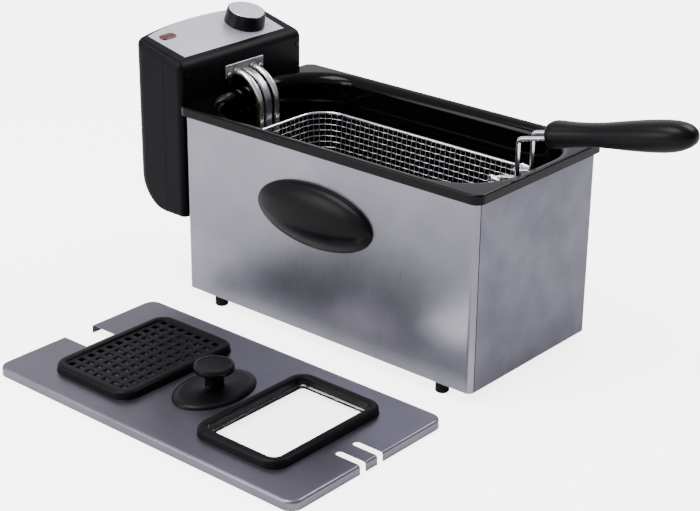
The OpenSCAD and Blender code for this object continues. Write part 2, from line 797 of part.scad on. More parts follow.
// half of the element, from the head down a leg and round to the loop's far middle
module half_element() {
    x = leg_x;
    far_x = pot_cx + 34;
    far_r = 25;
    xa = x + low_bend + 8;
    translate([face_x - 22, leg_y, tube_out_z]) rotate([0, 90, 0])
        cylinder(r = tube_r, h = 22 + plate_d + eps);
    translate([x - leg_bend, leg_y, tube_out_z - leg_bend]) rotate([90, 0, 0]) bend(leg_bend, tube_r, 0);
    translate([x, leg_y, loop_z + low_bend])
        cylinder(r = tube_r, h = tube_out_z - leg_bend - loop_z - low_bend);
    translate([x + low_bend, leg_y, loop_z + low_bend]) rotate([90, 0, 0]) bend(low_bend, tube_r, 180);
    bar([x + low_bend, leg_y, loop_z], [xa, leg_y, loop_z], tube_r);
    translate([xa, leg_y + turn_r, loop_z]) bend(turn_r, tube_r, -90);
    bar([xa + turn_r, leg_y + turn_r, loop_z], [xa + turn_r, loop_y - turn_r, loop_z], tube_r);
    translate([xa + 2 * turn_r, loop_y - turn_r, loop_z]) bend(turn_r, tube_r, 90);
    bar([xa + 2 * turn_r, loop_y, loop_z], [far_x - far_r, loop_y, loop_z], tube_r);
    translate([far_x - far_r, loop_y - far_r, loop_z]) bend(far_r, tube_r, 0);
    bar([far_x, loop_y - far_r, loop_z], [far_x, -eps, loop_z], tube_r);
}

module heating_element() {
    color(bright) placed() {
        half_element();
        mirror([0, 1, 0]) half_element();
    }
}

// flat strip between the legs that carries the sensor
module sensor_cover() {
    low = loop_z + 26;
    color([0.6, 0.6, 0.66]) placed() {
        translate([face_x - 8, -sensor_w / 2, tube_out_z - sensor_t / 2])
            cube([8 + plate_d, sensor_w, sensor_t]);
        translate([leg_x - leg_bend, sensor_w / 2, tube_out_z - leg_bend]) rotate([90, 0, 0])
            rotate_extrude(angle = 90) translate([leg_bend - sensor_t / 2, 0]) square([sensor_t, sensor_w]);
        translate([leg_x - sensor_t / 2, -sensor_w / 2, low])
            cube([sensor_t, sensor_w, tube_out_z - leg_bend - low]);
    }
}

module sensor_bulb() {
    color([0.72, 0.45, 0.25]) placed() translate([leg_x + sensor_t / 2 + 2.3, 0, loop_z + 24])
        cylinder(r = 2.2, h = 66);
}

// ---------- basket ----------
basket_cx2 = basket_hx - basket_corner_r;
basket_cy2 = basket_hy - basket_corner_r;

module in_basket() { placed() translate([basket_cx, 0, 0]) children(); }

module basket_rim() {
    color(bright) in_basket() sweep(basket_cx2, basket_cy2,
        [for (i = [0 : 15]) [basket_corner_r + rim_wire_r * cos(22.5 * i),
            basket_z + rim_wire_r * sin(22.5 * i)]]);
}

module basket_mesh() {
    top = basket_z - rim_wire_r - 0.2;
    low = basket_z - basket_h;
    s1 = basket_corner_r + mesh_t / 2;
    s0 = s1 - basket_draft;
    r = 12;
    color([0.6, 0.6, 0.6]) in_basket() {
        sweep(basket_cx2, basket_cy2, concat(
            [[s1, top], [s1 - mesh_t, top]],
            arc([s0 - mesh_t - r, low + mesh_t + r], r, 0, -90),
            [[0, low + mesh_t], [0, low]],
            arc([s0 - mesh_t - r, low + mesh_t + r], r + mesh_t, -90, 0)));
        translate([0, 0, low]) linear_extrude(mesh_t)
            square([2 * basket_cx2 + 2 * eps, 2 * basket_cy2 + 2 * eps], center = true);
    }
}

module basket_bracket() {
    post_x = basket_x1 - rim_wire_r - bracket_r - 0.1;
    run_z = hinge_z + (post_x - hinge_x) * tan(handle_rise);
    low_z = basket_z - 4;
    color(bright) placed() {
        for (s = [-1, 1]) {
            bent_bar([[post_x, s * bracket_y, low_z], [post_x, s * bracket_y, run_z],
                [hinge_x - 5, s * bracket_y, hinge_z - 5 * tan(handle_rise)]], bracket_r);
            translate([hinge_x, s * (bracket_y - 2.6), hinge_z]) rotate([90, 0, 0])
                rotate_extrude() translate([eye_r, 0]) circle(bracket_r);
            translate([post_x, s * bracket_y, low_z]) sphere(bracket_r + 0.05);
        }
        bar([post_x, -bracket_y, low_z], [post_x, bracket_y, low_z], bracket_r);
    }
}

// ---------- handle ----------
module handle_wires() {
    rise = tan(handle_rise);
    low_z = hinge_z + (handle_leg_x - hinge_x) * rise;
    color(bright) placed() for (s = [-1, 1]) {
        y = s * handle_wire_y;
        bent_bar([[hinge_x, s * (bracket_y - bracket_r - 0.3), hinge_z], [hinge_x, y, hinge_z],
            [handle_leg_x, y, low_z], [handle_leg_x, y, handle_top_z],
            [grip_x0 + 34, y, handle_top_z + (grip_x0 + 34 - handle_leg_x) * rise]], handle_wire_r);
    }
}

// radius of the grip at a share t of its length
function grip_radius(t) = t < 0.05 ? 11.4 + 30 * t
    : t < 0.3 ? 11.3 + 1.6 * pow((0.3 - t) / 0.25, 2)
    : t < 0.84 ? 11.3 + 1.5 * sin(90 * (t - 0.3) / 0.54)
    : 12.8 * sqrt(1 - pow((t - 0.84) / 0.161, 2));

module handle_grip() {
    rise = tan(handle_rise);
    half_flat = 2.8;
    wire_end = 34.3;
    n = 24;
    edge = [for (i = [0 : n]) [grip_radius(i / n), handle_grip_l * i / n]];
    color(black) placed() difference() {
        translate([grip_x0, 0, grip_z0 + 1]) rotate([0, 90 - handle_rise, 0]) {
            for (s = [0, 180]) rotate([0, 0, s]) translate([0, half_flat, 0])
                rotate_extrude(angle = 180) polygon(concat([[0, 0]], edge, [[0, handle_grip_l]]));
            rotate([90, 0, 0]) linear_extrude(2 * half_flat, center = true)
                polygon(concat(edge, [for (i = [n : -1 : 0]) [-edge[i][0], edge[i][1]]]));
        }
        for (s = [-1, 1]) {
            y = s * handle_wire_y;
            bar([grip_x0 - 10, y, handle_top_z + (grip_x0 - 10 - handle_leg_x) * rise],
                [grip_x0 + wire_end, y, handle_top_z + (grip_x0 + wire_end - handle_leg_x) * rise],
                handle_wire_r + 0.03);
        }
    }
}

// ---------- lid ----------
module frame_cut(x, a, b) { translate([x, 0, -1]) linear_extrude(40) rrect(a, b, 6); }
window_a = frame_w / 2 - 11;
window_b = frame_l / 2 - 11;
edge_r = 3;

module lid_plate() {
    s = lid_corner_r;
    color(steel) on_lid() difference() {
        union() {
            sweep(lid_hx - s, lid_hy - s, concat(
                [[0, lid_h - lid_t], [0, lid_h]],
                arc([s - edge_r, lid_h - edge_r], edge_r, 90, 0),
                [[s, 0], [s - lid_t, 0]],
                arc([s - edge_r, lid_h - edge_r], edge_r - lid_t, 0, 90)));
            translate([0, 0, lid_h - lid_t]) linear_extrude(lid_t)
                square([2 * (lid_hx - s) + 2 * eps, 2 * (lid_hy - s) + 2 * eps], center = true);
        }
        translate([-lid_hx - 5, -notch_w / 2, -1]) cube([notch_l + 5, notch_w, 20]);
        for (y = [-1, 1]) translate([slot_x + slot_w / 2, y * handle_wire_y, -1]) {
            cylinder(r = slot_w / 2, h = 20);
            translate([0, -slot_w / 2, 0]) cube([60, slot_w, 20]);
        }
        frame_cut(panel_off, window_a, window_b);
        frame_cut(-panel_off, window_a, window_b);
        cylinder(r = 2.3, h = 20);
    }
}

// raised frame profile: flat underside, sloped round outside, round top
module frame_ring(inner) {
    w = 10;
    c = 8;
    sweep(frame_w / 2 - w - c, frame_l / 2 - w - c, concat(
        [[inner, lid_top], [w + c, lid_top]],
        arc([w + c - 4, lid_top + frame_h - 5], 4, 0, 50),
        arc([inner + 3.5, lid_top + frame_h - 3], 3, 90, 170)));
}

module filter_cover() {
    w = 10;
    c = 8;
    color(black) on_lid() translate([-panel_off, 0, 0]) {
        frame_ring(c);
        difference() {
            translate([0, 0, lid_top + frame_h - 4]) linear_extrude(2.6)
                rrect(frame_w / 2 - w + 1.5, frame_l / 2 - w + 1.5, c + 1);
            for (i = [0 : vent_cols - 1], j = [0 : vent_rows - 1])
                translate([(i - (vent_cols - 1) / 2) * vent_pitch, (j - (vent_rows - 1) / 2) * vent_pitch,
                    lid_top]) translate([-vent_size / 2, -vent_size / 2, 0]) cube([vent_size, vent_size, 20]);
        }
    }
}

module grease_filter() {
    color([0.7, 0.7, 0.7]) on_lid() translate([-panel_off, 0, lid_top - 2.4]) linear_extrude(3)
        rrect(window_a - 0.5, window_b - 0.5, 5.5);
}

module window_frame() { color(black) on_lid() translate([panel_off, 0, 0]) frame_ring(7); }

module window_glass() {
    color([0.85, 0.9, 0.92, 0.35]) on_lid() translate([panel_off, 0, lid_top - 2.2])
        linear_extrude(2.1) rrect(window_a - 0.4, window_b - 0.4, 5.6);
}

module window_retainer() {
    color(black) on_lid() translate([panel_off, 0, 0]) ring(window_a + 6, window_b + 6, 9,
        window_a - 2, window_b - 2, 4, lid_top - 4.2, lid_top - 2.3);
}

module lid_knob_base() {
    color(black) on_lid() translate([0, 0, lid_top]) difference() {
        scale([32 / 46, 1, 1]) cylinder(r1 = 46, r2 = 44.5, h = 4, $fn = 60);
        translate([0, 0, -1]) cylinder(r = 2.3, h = 20);
    }
}

module lid_knob() {
    cap_r = 19.5;
    stem_r = 9.3;
    color(black) on_lid() translate([0, 0, lid_top + 4]) difference() {
        union() {
            cylinder(r = stem_r, h = lid_knob_h - 8);
            translate([0, 0, lid_knob_h - 11.5]) rotate_extrude() polygon(rounded(
                [[0, 0], [cap_r - 1, 0], [cap_r, 7.5], [0, 7.5]], [0, 2, 2, 0]));
        }
        translate([0, 0, -1]) cylinder(r = 2.05, h = 19);
    }
}

module lid_knob_screw() {
    color(bright) on_lid() translate([0, 0, lid_top - lid_t - 0.05]) rotate([180, 0, 0])
        pan_screw(2, 21, 4.5, 2);
}

left_casing_sheet();
front_casing_sheet();
base_plate();
feet();
foot_screws();
foot_nuts();
rim_frame();
left_grip();
right_grip();
grip_screws();
head_rail();
rail_screws();
oil_pot();
head_rear_shell();
head_front_cover();
cover_screws();
control_plate();
indicator_lens();
indicator_lamp();
thermostat();
thermal_cutout();
interlock_switch();
terminal_block();
cord_gland();
element_plate();
element_screws();
heating_element();
sensor_cover();
sensor_bulb();
control_knob();
knob_insert();
thermostat_spindle();
reset_button();
basket_rim();
basket_mesh();
basket_bracket();
handle_wires();
handle_grip();
lid_plate();
filter_cover();
grease_filter();
window_frame();
window_glass();
window_retainer();
lid_knob_base();
lid_knob();
lid_knob_screw();
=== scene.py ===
"""Deep fryer: finished pieces, finishes, light and camera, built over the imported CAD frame."""
import logging
import math
from dataclasses import dataclass
from enum import Enum
from typing import Iterable, Sequence

import bmesh
import bpy
from mathutils import Matrix, Vector


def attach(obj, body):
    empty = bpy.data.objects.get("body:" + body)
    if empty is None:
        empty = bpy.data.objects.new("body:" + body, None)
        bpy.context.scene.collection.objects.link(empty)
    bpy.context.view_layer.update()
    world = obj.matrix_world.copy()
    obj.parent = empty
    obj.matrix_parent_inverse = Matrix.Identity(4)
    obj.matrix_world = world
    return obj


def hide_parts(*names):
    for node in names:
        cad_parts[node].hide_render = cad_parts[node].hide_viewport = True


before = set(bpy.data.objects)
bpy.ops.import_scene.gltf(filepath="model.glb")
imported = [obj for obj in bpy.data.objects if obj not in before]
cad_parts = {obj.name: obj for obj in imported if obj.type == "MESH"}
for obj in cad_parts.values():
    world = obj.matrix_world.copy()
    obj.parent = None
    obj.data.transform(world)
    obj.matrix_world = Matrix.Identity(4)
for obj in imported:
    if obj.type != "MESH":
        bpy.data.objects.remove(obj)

log = logging.getLogger("fryer")
logging.basicConfig(level=logging.INFO, format="%(message)s")

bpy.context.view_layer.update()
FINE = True

# The fryer's own centre in the row frame, and its main sizes, in millimetres.
HX, HY = 185.0, 95.0
RIM_HX, RIM_HY, RIM_Z = 190.0, 100.0, 211.5
FACE_X, HEAD_D, HEAD_W, HEAD_Z0 = -193.0, 79.0, 182.0, 84.0
TILT = math.radians(14)
PANEL_Z0 = RIM_Z + 38.5
PARTING_X = FACE_X - 26
KNOB = (FACE_X - 39, 42.0)
LENS = (FACE_X - 52, -58.0)
HANDLE_X = HX - 17.5
GRIP_X0 = HANDLE_X + 29
GRIP_L = 152.0
HINGE_X, BASKET_Z = HX - 39, 176.0
HINGE_Z = BASKET_Z + 18.5
LID_X, LID_Y, LID_H = -2.3, -241.0, 9.3
LID_HX, LID_HY = 192.0, 102.0
FRAME_AT = 94.5
SLOT_R, SLOT_END = 4, -2.0
HANDLE_Y = 11.5
RAIL_SLOT, RAIL_POCKET = 12.6, 20.6
POT_CX, POT_CY = HX - 69, HY - 69
LEG_X, LEG_Z = FACE_X + 35, RIM_Z + 15
SET_X = (GRIP_X0 + GRIP_L * math.cos(TILT) + FACE_X - HEAD_D - 3) / 2
SET_Y = (LID_Y - LID_HY + HY + 17) / 2


def at(x: float, y: float, z: float) -> Vector:
    """Returns the row-frame point, in metres, of a point given in mm from the fryer's centre."""
    return Vector((x - SET_X, y - SET_Y, z)) / 1000


def linear(code: str) -> tuple[float, float, float, float]:
    """Turns an sRGB hex code into linear RGBA.

    Args:
        code: six hex digits, with or without a leading hash.

    Returns:
        The colour as four linear values, alpha 1.
    """
    parts = [int(code.lstrip("#")[i:i + 2], 16) / 255 for i in (0, 2, 4)]
    return (*[c / 12.92 if c <= 0.04045 else ((c + 0.055) / 1.055) ** 2.4 for c in parts], 1.0)


class Grain(Enum):
    """The small-scale pattern a finish carries."""

    NONE = "none"
    SPECKLE = "speckle"
    BRUSH_X = "brush_x"
    BRUSH_Z = "brush_z"


@dataclass(frozen=True)
class Finish:
    """One surface finish, made once as a node material.

    Args:
        name: the material's name.
        color: sRGB hex base colour.
        rough: roughness, 0 to 1.
        metal: 1 for bare metal.
        grain: small-scale pattern.
        grain_size: pattern repeats per metre across it.
        bump: depth of the pattern's bump.
        vary: how much roughness follows the pattern.
        tone: how much the colour follows a broad soft pattern.
        glass: 1 for clear glass.
        coat: weight of a clear gloss coat.
        shine: specular level of a non-metal.
        patch: broad pattern repeats per metre.
    """

    name: str
    color: str
    rough: float = 0.4
    metal: float = 0.0
    grain: Grain = Grain.SPECKLE
    grain_size: float = 900.0
    bump: float = 0.02
    vary: float = 0.1
    tone: float = 0.06
    glass: float = 0.0
    coat: float = 0.0
    shine: float = 0.5
    patch: float = 9.0

    def material(self) -> bpy.types.Material:
        """Returns this finish's material, building it on first use."""
        # the CAD's own materials may carry the plain name
        found = bpy.data.materials.get(f"look_{self.name}")
        return found if found else self._build()

    def _build(self) -> bpy.types.Material:
        mat = bpy.data.materials.new(f"look_{self.name}")
        mat.use_nodes = True
        tree = mat.node_tree
        bsdf = tree.nodes["Principled BSDF"]
        mat.diffuse_color = linear(self.color)

        def add(kind: str, links: dict[str, object] | None = None, **props: object) -> bpy.types.Node:
            node = tree.nodes.new(kind)
            for key, value in props.items():
                setattr(node, key, value)
            for key, value in (links or {}).items():
                target = node.inputs[int(key) if key.isdigit() else key]
                if isinstance(value, bpy.types.NodeSocket):
                    tree.links.new(value, target)
                else:
                    target.default_value = value
            return node

        bsdf.inputs["Base Color"].default_value = linear(self.color)
        bsdf.inputs["Roughness"].default_value = self.rough
        bsdf.inputs["Metallic"].default_value = self.metal
        bsdf.inputs["Coat Weight"].default_value = self.coat
        bsdf.inputs["Coat Roughness"].default_value = 0.12
        bsdf.inputs["Specular IOR Level"].default_value = self.shine
        if self.glass:
            bsdf.inputs["Transmission Weight"].default_value = 1.0
            bsdf.inputs["IOR"].default_value = 1.45
        place = add("ShaderNodeTexCoord").outputs["Object"]
        size = self.grain_size
        stretch = {Grain.BRUSH_X: (size / 60, size, size), Grain.BRUSH_Z: (size, size, size / 60)}
        scale = stretch.get(self.grain, (size, size, size))
        mapped = add("ShaderNodeMapping", {"Vector": place, "Scale": scale}).outputs["Vector"]
        fine = add("ShaderNodeTexNoise", {"Vector": mapped, "Scale": 1.0, "Detail": 3.0}).outputs["Fac"]
        broad = add("ShaderNodeTexNoise", {"Vector": place, "Scale": self.patch, "Detail": 3.0}).outputs["Fac"]
        if self.grain is not Grain.NONE:
            rough = add("ShaderNodeMapRange", {"Value": fine, "From Min": 0.3, "From Max": 0.7,
                                               "To Min": max(self.rough - self.vary, 0.02),
                                               "To Max": min(self.rough + self.vary, 1.0)})
            tree.links.new(rough.outputs["Result"], bsdf.inputs["Roughness"])
            bump = add("ShaderNodeBump", {"Height": fine, "Strength": self.bump * 10, "Distance": 0.0001})
            tree.links.new(bump.outputs["Normal"], bsdf.inputs["Normal"])
        shade = add("ShaderNodeMapRange", {"Value": broad, "From Min": 0.3, "From Max": 0.7,
                                           "To Min": 1.0 - self.tone, "To Max": 1.0 + self.tone})
        mixed = add("ShaderNodeMix", {"0": 1.0, "6": linear(self.color), "7": shade.outputs["Result"]},
                    data_type="RGBA", blend_type="MULTIPLY")
        tree.links.new(mixed.outputs[2], bsdf.inputs["Base Color"])
        return mat


STEEL = Finish("brushed_steel_upright", "828189", 0.32, 1.0, Grain.BRUSH_Z, 2500, 0.0, 0.05, 0.16)
# darker copy of the brushed steel for the end sheet: painted shade on the end face that the light falls away from
SHADED_END_STEEL = Finish("brushed_steel_end_shaded", "605f69", 0.36, 1.0, Grain.BRUSH_Z, 2500, 0.0, 0.05, 0.22, patch=24.0)
# darker copy of the brushed steel for the lid: painted shade standing for the dark reflection the lid's top catches
SHADED_LID_STEEL = Finish("brushed_steel_lid_shaded", "716f79", 0.34, 1.0, Grain.BRUSH_X, 2500, 0.0, 0.06, 0.16, patch=6.0)
SATIN = Finish("satin_steel", "a9a8b0", 0.3, 1.0, Grain.SPECKLE, 2500, 0.0, 0.05)
ELEMENT = Finish("element_steel", "d8d4cf", 0.24, 1.0, Grain.SPECKLE, 2500, 0.0, 0.03, 0.1)
WIRE = Finish("bright_wire", "dddce0", 0.2, 1.0, Grain.SPECKLE, 2500, 0.0, 0.05)
MESH_WIRE = Finish("mesh_wire", "cfcfd2", 0.36, 1.0, Grain.SPECKLE, 2500, 0.0, 0.05)
PLATE = Finish("silver_plate", "d6d3df", 0.38, 0.75, Grain.BRUSH_X, 1800, 0.0, 0.06, 0.08)
SHELL = Finish("shell_plastic", "07070a", 0.42, 0.0, Grain.SPECKLE, 2500, 0.02, 0.04, shine=0.07)
SOFT_BLACK = Finish("handle_plastic", "070709", 0.34, 0.0, Grain.SPECKLE, 2500, 0.02, 0.04, shine=0.1)
KNOB_BLACK = Finish("knob_plastic", "08080a", 0.34, 0.0, Grain.SPECKLE, 2500, 0.02, 0.04, shine=0.12)
FRAME_BLACK = Finish("frame_plastic", "070709", 0.4, 0.0, Grain.SPECKLE, 2500, 0.02, 0.04, shine=0.09)
ENAMEL = Finish("pot_enamel", "030304", 0.12, 0.0, Grain.SPECKLE, 900, 0.0, 0.03, 0.05, shine=0.11)
RUBBER = Finish("foot_rubber", "0a0a0b", 0.75, shine=0.12)
GLASS = Finish("window_glass", "fbfdfd", 0.02, 0.0, Grain.NONE, glass=1.0, tone=0.0)
LENS_RED = Finish("lens_red", "4a1d1b", 0.25, 0.0, Grain.SPECKLE, 900, 0.0, 0.04, shine=0.4)
COLLAR = Finish("collar_bronze", "6d655c", 0.35, 1.0)
COPPER = Finish("sensor_copper", "a37a5c", 0.35, 1.0)
FILTER = Finish("filter_wire", "77777b", 0.45, 1.0, Grain.SPECKLE, 1600, 0.1, 0.12)
CERAMIC = Finish("switch_ceramic", "cfc8b8", 0.6)
DARK = Finish("switch_plastic", "2d2a2a", 0.5)
PRINT = Finish("dial_print", "26262c", 0.6)
RED = Finish("button_red", "7c1712", 0.3)

Ring = list[Vector]


def rounded_rect(hx: float, hy: float, r: float, n: int = 10) -> list[tuple[float, float]]:
    """Points, counter-clockwise, of a rectangle with round corners.

    Args:
        hx, hy: half sizes.
        r: corner radius.
        n: segments in each corner.

    Returns:
        4 * (n + 1) points as (x, y).
    """
    out = []
    for k, (sx, sy) in enumerate(((1, 1), (-1, 1), (-1, -1), (1, -1))):
        for i in range(n + 1):
            a = math.pi / 2 * (k + i / n)
            out.append((sx * (hx - r) + r * math.cos(a), sy * (hy - r) + r * math.sin(a)))
    return out


def arc(cx: float, cy: float, r: float, a0: float, a1: float, n: int = 8) -> list[tuple[float, float]]:
    """Points of a circle's arc from angle a0 to a1, in degrees."""
    angles = [math.radians(a0 + (a1 - a0) * i / n) for i in range(n + 1)]
    return [(cx + r * math.cos(a), cy + r * math.sin(a)) for a in angles]


def loft(rings: Sequence[Ring], closed: bool = False, start: bool = False, end: bool = False) -> bmesh.types.BMesh:
    """Joins rings of equal length into one skin.

    Args:
        rings: closed loops of points.
        closed: join the last ring back to the first.
        start, end: cap the first or last ring.

    Returns:
        The new mesh, with outward normals.
    """
    bm = bmesh.new()
    rows = [[bm.verts.new(p) for p in ring] for ring in rings]
    count = len(rows[0])
    pairs = list(zip(rows, rows[1:])) + ([(rows[-1], rows[0])] if closed else [])
    for a, b in pairs:
        for i in range(count):
            j = (i + 1) % count
            bm.faces.new((a[i], a[j], b[j], b[i]))
    if start:
        bm.faces.new(rows[0][::-1])
    if end:
        bm.faces.new(rows[-1])
    bmesh.ops.remove_doubles(bm, verts=bm.verts, dist=1e-7)
    bmesh.ops.recalc_face_normals(bm, faces=bm.faces)
    return bm


def frame_sweep(profile: Sequence[tuple[float, float]], cx: float, cy: float, n: int = 12,
                origin: tuple[float, float, float] = (0, 0, 0), closed: bool = True,
                end: bool = False, start: bool = False) -> bmesh.types.BMesh:
    """Sweeps a profile round a rectangle.

    Args:
        profile: (distance outwards from the corner centres, height) points.
        cx, cy: the corner centres.
        n: segments in each corner.
        origin: where the rectangle's centre is, in mm.
        closed: the profile is a loop.
        end, start: cap the last or first ring.

    Returns:
        The swept mesh.
    """
    rings = [[at(origin[0] + x, origin[1] + y, origin[2] + z)
              for x, y in rounded_rect(cx + s, cy + s, max(s, 0.01), n)] for s, z in profile]
    return loft(rings, closed, start, end)


def lathe(profile: Sequence[tuple[float, float]], n: int = 48) -> bmesh.types.BMesh:
    """Turns a (radius, height) profile, in mm, about the local Z axis; on-axis ends are closed."""
    bm = bmesh.new()
    verts = [bm.verts.new((r / 1000, 0, z / 1000)) for r, z in profile]
    edges = [bm.edges.new(pair) for pair in zip(verts, verts[1:])]
    bmesh.ops.spin(bm, geom=verts + edges, axis=(0, 0, 1), cent=(0, 0, 0), steps=n,
                   angle=2 * math.pi, use_merge=True)
    bmesh.ops.remove_doubles(bm, verts=bm.verts, dist=1e-6)
    bmesh.ops.recalc_face_normals(bm, faces=bm.faces)
    return bm


def smooth_path(points: Sequence[Vector], radius: float | Sequence[float], n: int = 8) -> list[Vector]:
    """Rounds the inner corners of a polyline with arcs.

    Args:
        points: the corners, in metres.
        radius: one radius in mm, or one for each inner corner.
        n: segments in each arc.

    Returns:
        The rounded line's points.
    """
    radii = [radius] * (len(points) - 2) if isinstance(radius, (int, float)) else list(radius)
    out = [points[0]]
    for a, b, c, wanted in zip(points, points[1:], points[2:], radii):
        u, v = (a - b).normalized(), (c - b).normalized()
        half = u.angle(v) / 2
        if half > math.radians(89.5):
            continue
        r = wanted / 1000
        centre = b + (u + v).normalized() * r / math.sin(half)
        first = (b + u * r / math.tan(half) - centre).normalized()
        last = (b + v * r / math.tan(half) - centre).normalized()
        out += [centre + first.slerp(last, i / n) * r for i in range(n + 1)]
    return out + [points[-1]]


def tube(bm: bmesh.types.BMesh, path: Sequence[Vector], r: float, sides: int = 16,
         loop: bool = False, round_ends: bool = False) -> None:
    """Adds a round bar along a path.

    Args:
        bm: mesh to add to.
        path: centre line, in metres.
        r: radius in mm.
        sides: sides of the bar.
        loop: the path closes on itself.
        round_ends: chamfered ends in place of flat ones.
    """
    pts, radii = list(path), [r / 1000] * len(path)
    if round_ends and not loop:
        a, b = (pts[0] - pts[1]).normalized(), (pts[-1] - pts[-2]).normalized()
        step = r / 1000 * 0.35
        pts = [pts[0], pts[0] - a * step] + pts[1:-1] + [pts[-1] - b * step, pts[-1]]
        radii = [r / 1000 * 0.62] + [r / 1000] * (len(pts) - 2) + [r / 1000 * 0.62]
    count = len(pts)
    tangents = []
    for i in range(count):
        before = pts[i - 1] if (i or loop) else pts[0]
        after = pts[(i + 1) % count] if (i < count - 1 or loop) else pts[-1]
        tangents.append((after - before).normalized())
    normal = tangents[0].orthogonal().normalized()
    rows = []
    for i, p in enumerate(pts):
        t = tangents[i]
        normal = (normal - t * normal.dot(t)).normalized()
        side = t.cross(normal)
        rows.append([bm.verts.new(p + (normal * math.cos(a) + side * math.sin(a)) * radii[i])
                     for a in (2 * math.pi * k / sides for k in range(sides))])
    if loop:
        twist = min(range(sides), key=lambda s: (rows[0][s].co - rows[-1][0].co).length)
        rows.append(rows[0][twist:] + rows[0][:twist])
    for a, b in zip(rows, rows[1:]):
        for k in range(sides):
            j = (k + 1) % sides
            bm.faces.new((a[k], a[j], b[j], b[k]))
    if not loop:
        bm.faces.new(rows[0][::-1])
        bm.faces.new(rows[-1])


def box(bm: bmesh.types.BMesh, lo: Vector, hi: Vector, bevel: float = 0.0, segments: int = 2) -> None:
    """Adds a box between two corners, in metres, with bevelled edges of that width in mm."""
    made = bmesh.ops.create_cube(bm, size=1.0)["verts"]
    for v in made:
        v.co = Vector([(lo[i] + hi[i]) / 2 + v.co[i] * (hi[i] - lo[i]) for i in range(3)])
    if bevel:
        edges = list({e for v in made for e in v.link_edges})
        bmesh.ops.bevel(bm, geom=edges, offset=bevel / 1000, segments=segments, profile=0.5,
                        affect="EDGES", material=-1)


def moved(bm: bmesh.types.BMesh, matrix: Matrix) -> bmesh.types.BMesh:
    """Moves a whole mesh by a matrix and returns it."""
    bmesh.ops.transform(bm, matrix=matrix, verts=bm.verts)
    return bm


def merged(meshes: Iterable[bmesh.types.BMesh]) -> bmesh.types.BMesh:
    """Puts several meshes into one, freeing them."""
    out = bmesh.new()
    for bm in meshes:
        temp = bpy.data.meshes.new("part")
        bm.to_mesh(temp)
        bm.free()
        out.from_mesh(temp)
        bpy.data.meshes.remove(temp)
    return out


def panel_z(x: float) -> float:
    """Height of the head's sloped top at x."""
    return PANEL_Z0 + (FACE_X - x) * math.tan(TILT)


def on_panel(x: float, y: float, lift: float = 0.0) -> Matrix:
    """Matrix that stands a local piece on the sloped panel at (x, y), raised by lift mm."""
    tip = Matrix.Rotation(TILT, 4, "Y")
    return Matrix.Translation(at(x, y, panel_z(x))) @ tip @ Matrix.Translation((0, 0, lift / 1000))


def on_face(out: float, y: float, z: float) -> Matrix:
    """Matrix that turns a local piece's +Z to +X and sets it out mm off the head's front face."""
    return Matrix.Translation(at(FACE_X + out, y, z)) @ Matrix.Rotation(math.pi / 2, 4, "Y")


def screw_mesh(r: float, h: float) -> bmesh.types.BMesh:
    """Domed screw head, its seat at z = 0, axis +Z; sizes in mm."""
    return lathe([(0, 0), (r, 0), (r, h * 0.45), (r * 0.86, h * 0.82), (r * 0.5, h), (0, h * 1.04)], 24)


@dataclass
class Builder:
    """Makes pieces for one CAD body.

    Args:
        body: the CAD body the pieces ride on.
    """

    body: str

    def piece(self, name: str, bm: bmesh.types.BMesh, finish: Finish, replaces: Sequence[str] = (),
              sharp: float = 35.0) -> bpy.types.Object:
        """Turns a mesh into a finished piece that rides on this builder's body.

        Args:
            name: the piece's name.
            bm: its mesh, in the row frame; freed here.
            finish: its finish.
            replaces: CAD nodes it stands for.
            sharp: edges steeper than this many degrees stay sharp.

        Returns:
            The new object.
        """
        mesh = bpy.data.meshes.new(name)
        if all(e.is_manifold for e in bm.edges):
            bmesh.ops.recalc_face_normals(bm, faces=bm.faces)
        bm.to_mesh(mesh)
        bm.free()
        for poly in mesh.polygons:
            poly.use_smooth = True
        mesh.set_sharp_from_angle(angle=math.radians(sharp))
        obj = bpy.data.objects.new(name, mesh)
        bpy.context.scene.collection.objects.link(obj)
        mesh.materials.append(finish.material())
        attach(obj, self.body)
        if replaces:
            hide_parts(*replaces)
        if sharp <= 41:
            obj.modifiers.new("shading", "WEIGHTED_NORMAL").keep_sharp = True
        log.info("%s: %d faces on %s", name, len(mesh.polygons), self.body)
        return obj

    def cut(self, obj: bpy.types.Object, cutter: bmesh.types.BMesh) -> None:
        """Cuts a closed mesh out of a piece, for good."""
        mesh = bpy.data.meshes.new("cutter")
        cutter.to_mesh(mesh)
        cutter.free()
        tool = bpy.data.objects.new("cutter", mesh)
        bpy.context.scene.collection.objects.link(tool)
        obj.modifiers.clear()
        mod = obj.modifiers.new("cut", "BOOLEAN")
        mod.operation, mod.solver, mod.object = "DIFFERENCE", "EXACT", tool
        self.bake(obj)
        bpy.data.objects.remove(tool)

    def bake(self, obj: bpy.types.Object, sharp: float = 32.0) -> None:
        """Applies a piece's modifiers to its mesh and gives it shading normals again."""
        bpy.context.view_layer.update()
        done = bpy.data.meshes.new_from_object(obj.evaluated_get(bpy.context.evaluated_depsgraph_get()))
        obj.modifiers.clear()
        name, obj.data = obj.data.name, done
        done.name = name
        for poly in done.polygons:
            poly.use_smooth = True
        done.set_sharp_from_angle(angle=math.radians(sharp))
        obj.modifiers.new("shading", "WEIGHTED_NORMAL").keep_sharp = True


